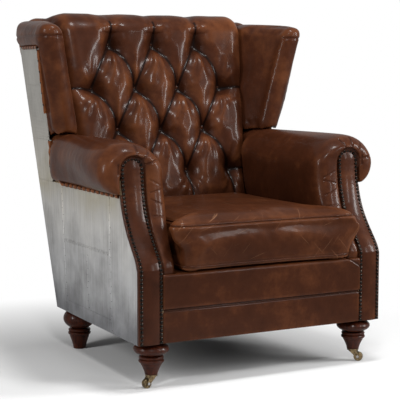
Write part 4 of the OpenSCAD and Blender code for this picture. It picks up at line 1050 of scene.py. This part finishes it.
SHEET_SEAMS = (
    ((0.195, 0.140), (0.195, 0.525)), ((0.555, 0.140), (0.555, 0.525)),
    ((0.370, 0.177), (0.370, 0.337)), ((0.205, 0.170), (0.545, 0.170)),
    ((0.645, 0.677), (0.735, 0.677)), ((0.632, 0.838), (0.780, 0.838)),
)
SEAM_R, SEAM_STEP, SEAM_OUT = 0.0011, 0.008, 0.0002
RIVET_R, RIVET_RISE, RIVET_SHIFT, RIVET_PITCH = 0.0016, 0.0009, 0.004, 0.021
STITCHES = ((0.197, 0.362), (0.555, 0.362))
STITCH_R, STITCH_HALF, STITCH_PITCH, STITCH_OUT = 0.0008, 0.0055, 0.0085, 0.0003
for side in SIDES:
    tree = sheet_tree(side)
    seams = []
    heads = bmesh.new()
    for run in SHEET_SEAMS:
        line = []
        for y, z in spaced(run, SEAM_STEP):
            place, normal = on_metal(tree, side, y, z)
            if place:
                line.append(place + normal * SEAM_OUT)
        if len(line) > 2:
            seams.append(tube(f"seam_{side}", line, SEAM_R))
        shift = RIVET_SHIFT if run[0][0] == run[1][0] else 0
        for n, (y, z) in enumerate(spaced(run, RIVET_PITCH)):
            place, normal = on_metal(tree, side, y + shift * (1 if n % 2 else -1), z)
            if place:
                bead(heads, place, normal, RIVET_R, RIVET_RISE)
    stitch = []
    for n, (y, z) in enumerate(spaced(STITCHES, STITCH_PITCH)):
        place, normal = on_metal(tree, side, y, z + STITCH_HALF * (1 if n % 2 else -1))
        if place:
            stitch.append(place + normal * STITCH_OUT)
    if len(stitch) > 2:
        seams.append(tube(f"stitches_{side}", stitch, STITCH_R))
    joined = join_all(seams, f"sheet_seams_{side}")
    paint(joined, height_toned_sheet)
    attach(joined, "frame")
    rivets = from_bmesh(f"sheet_rivets_{side}", heads)
    paint(rivets, nail_metal)
    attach(rivets, "frame")


# The leather's outer edges: turned under, gathered and nailed down on the metal, round the
# arms and up the wings.
CORNER_R, CORNER_Y, CORNER_Z = 0.054, 0.577, 0.5895
CORNER_TURN = np.linspace(0.1, 1.47, 7)
corner = [(CORNER_Y + CORNER_R * math.sin(a), CORNER_Z - CORNER_R * math.cos(a)) for a in CORNER_TURN]
ARM_EDGE = [(0.116, 0.5350), *corner, (0.632, 0.664)]
WING_EDGE = [(0.638, 0.672), (0.6155, 0.815), (0.5925, 0.948)]
WING_TOP = [(0.598, 0.9560), (0.800, 0.9560)]
BAND_R, BAND_OUT, BAND_STEP = 0.0052, 0.0022, 0.0045
NAIL_PITCH, NAIL_OUT, NAIL_R, NAIL_RISE = 0.034, 0.0058, 0.0046, 0.0024
for side in SIDES:
    tree = sheet_tree(side)
    heads = bmesh.new()
    bands = []
    for run, wave in ((ARM_EDGE, 0.0014), (WING_EDGE, 0.0005), (WING_TOP, 0.0005)):
        line, widths = [], []
        for n, (y, z) in enumerate(spaced(run, BAND_STEP)):
            along = n * BAND_STEP
            place, normal = on_metal(tree, side, y, z)
            if place:
                pucker = math.cos(along / NAIL_PITCH * 2 * math.pi)
                line.append(place + normal * BAND_OUT)
                widths.append(BAND_R - wave * pucker + 0.0005 * noise.noise((along * 90, 0, 2.2)))
        if len(line) > 2:
            bands.append(tube(f"band_{side}", line, widths))
        for y, z in spaced(run, NAIL_PITCH):
            place, normal = on_metal(tree, side, y, z)
            if place:
                bead(heads, place + normal * NAIL_OUT, normal, NAIL_R, NAIL_RISE)
    band = join_all(bands, f"leather_edge_{side}")
    paint_wear_and_shade(band, gain=5, rounds=6)
    paint(band, dark_hide)
    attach(band, "frame")
    tacks = from_bmesh(f"edge_nails_{side}", heads)
    paint(tacks, nail_metal)
    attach(tacks, "frame")


# The wood: the frame of sawn beech, left bare inside, and the legs, turned, stained to a
# dark red mahogany and polished.
def grained_wood(name, dark, light, roughness, coat):
    """Wood with its grain up and down, under a coat of polish."""
    made, nodes, links = new_material(name)
    place = nodes.new("ShaderNodeTexCoord").outputs["Object"]
    grain = noise_at(nodes, links, place, scale=1, detail=6, roughness=0.65, stretch=(130, 130, 9))
    hue = ramp(nodes, [(0.32, dark), (0.68, light)])
    links.new(grain, hue.inputs["Fac"])
    shader = nodes.new("ShaderNodeBsdfPrincipled")
    links.new(hue.outputs["Color"], shader.inputs["Base Color"])
    roughness_from(nodes, links, shader, grain, roughness - 0.05, roughness + 0.10)
    shader.inputs["Specular IOR Level"].default_value = 0.1
    shader.inputs["Coat Weight"].default_value = coat
    shader.inputs["Coat Roughness"].default_value = 0.10
    shader.inputs["Coat IOR"].default_value = 1.35
    pores = bump_from(nodes, links, grain, strength=0.15, distance=0.0005)
    finish_material(nodes, links, shader, pores)
    return made


red_mahogany = grained_wood(
    "red_mahogany", (0.010, 0.0025, 0.0012), (0.060, 0.012, 0.004), roughness=0.34, coat=0.18
)
sawn_beech = grained_wood(
    "sawn_beech", (0.42, 0.28, 0.16), (0.62, 0.46, 0.29), roughness=0.65, coat=0
)
for side in SIDES:
    for end in ("front", "rear"):
        paint(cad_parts[f"{end}_leg_{side}"], red_mahogany)
for name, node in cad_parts.items():
    if any(word in name for word in ("block", "rail", "post", "board")):
        paint(node, sawn_beech)


# The linings: black woven cloth, tacked to the frame under the seat and over its springs,
# and stretched behind the padding of the back.
def woven_cloth(name, colour):
    """A plain weave, darker between its threads."""
    made, nodes, links = new_material(name)
    place = nodes.new("ShaderNodeTexCoord").outputs["Object"]
    weave = nodes.new("ShaderNodeTexVoronoi")
    weave.inputs["Scale"].default_value = 700
    links.new(place, weave.inputs["Vector"])
    hue = ramp(nodes, [(0.1, tuple(c * 0.6 for c in colour)), (0.6, colour)])
    links.new(weave.outputs["Distance"], hue.inputs["Fac"])
    shader = nodes.new("ShaderNodeBsdfPrincipled")
    links.new(hue.outputs["Color"], shader.inputs["Base Color"])
    shader.inputs["Roughness"].default_value = 0.9
    threads = bump_from(nodes, links, weave.outputs["Distance"], strength=0.4, distance=0.0006)
    finish_material(nodes, links, shader, threads)
    return made


black_lining = woven_cloth("black_lining", (0.045, 0.042, 0.040))
for node in ("back_webbing", "seat_insulator", "seat_deck", "dust_cover"):
    paint(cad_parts[node], black_lining)
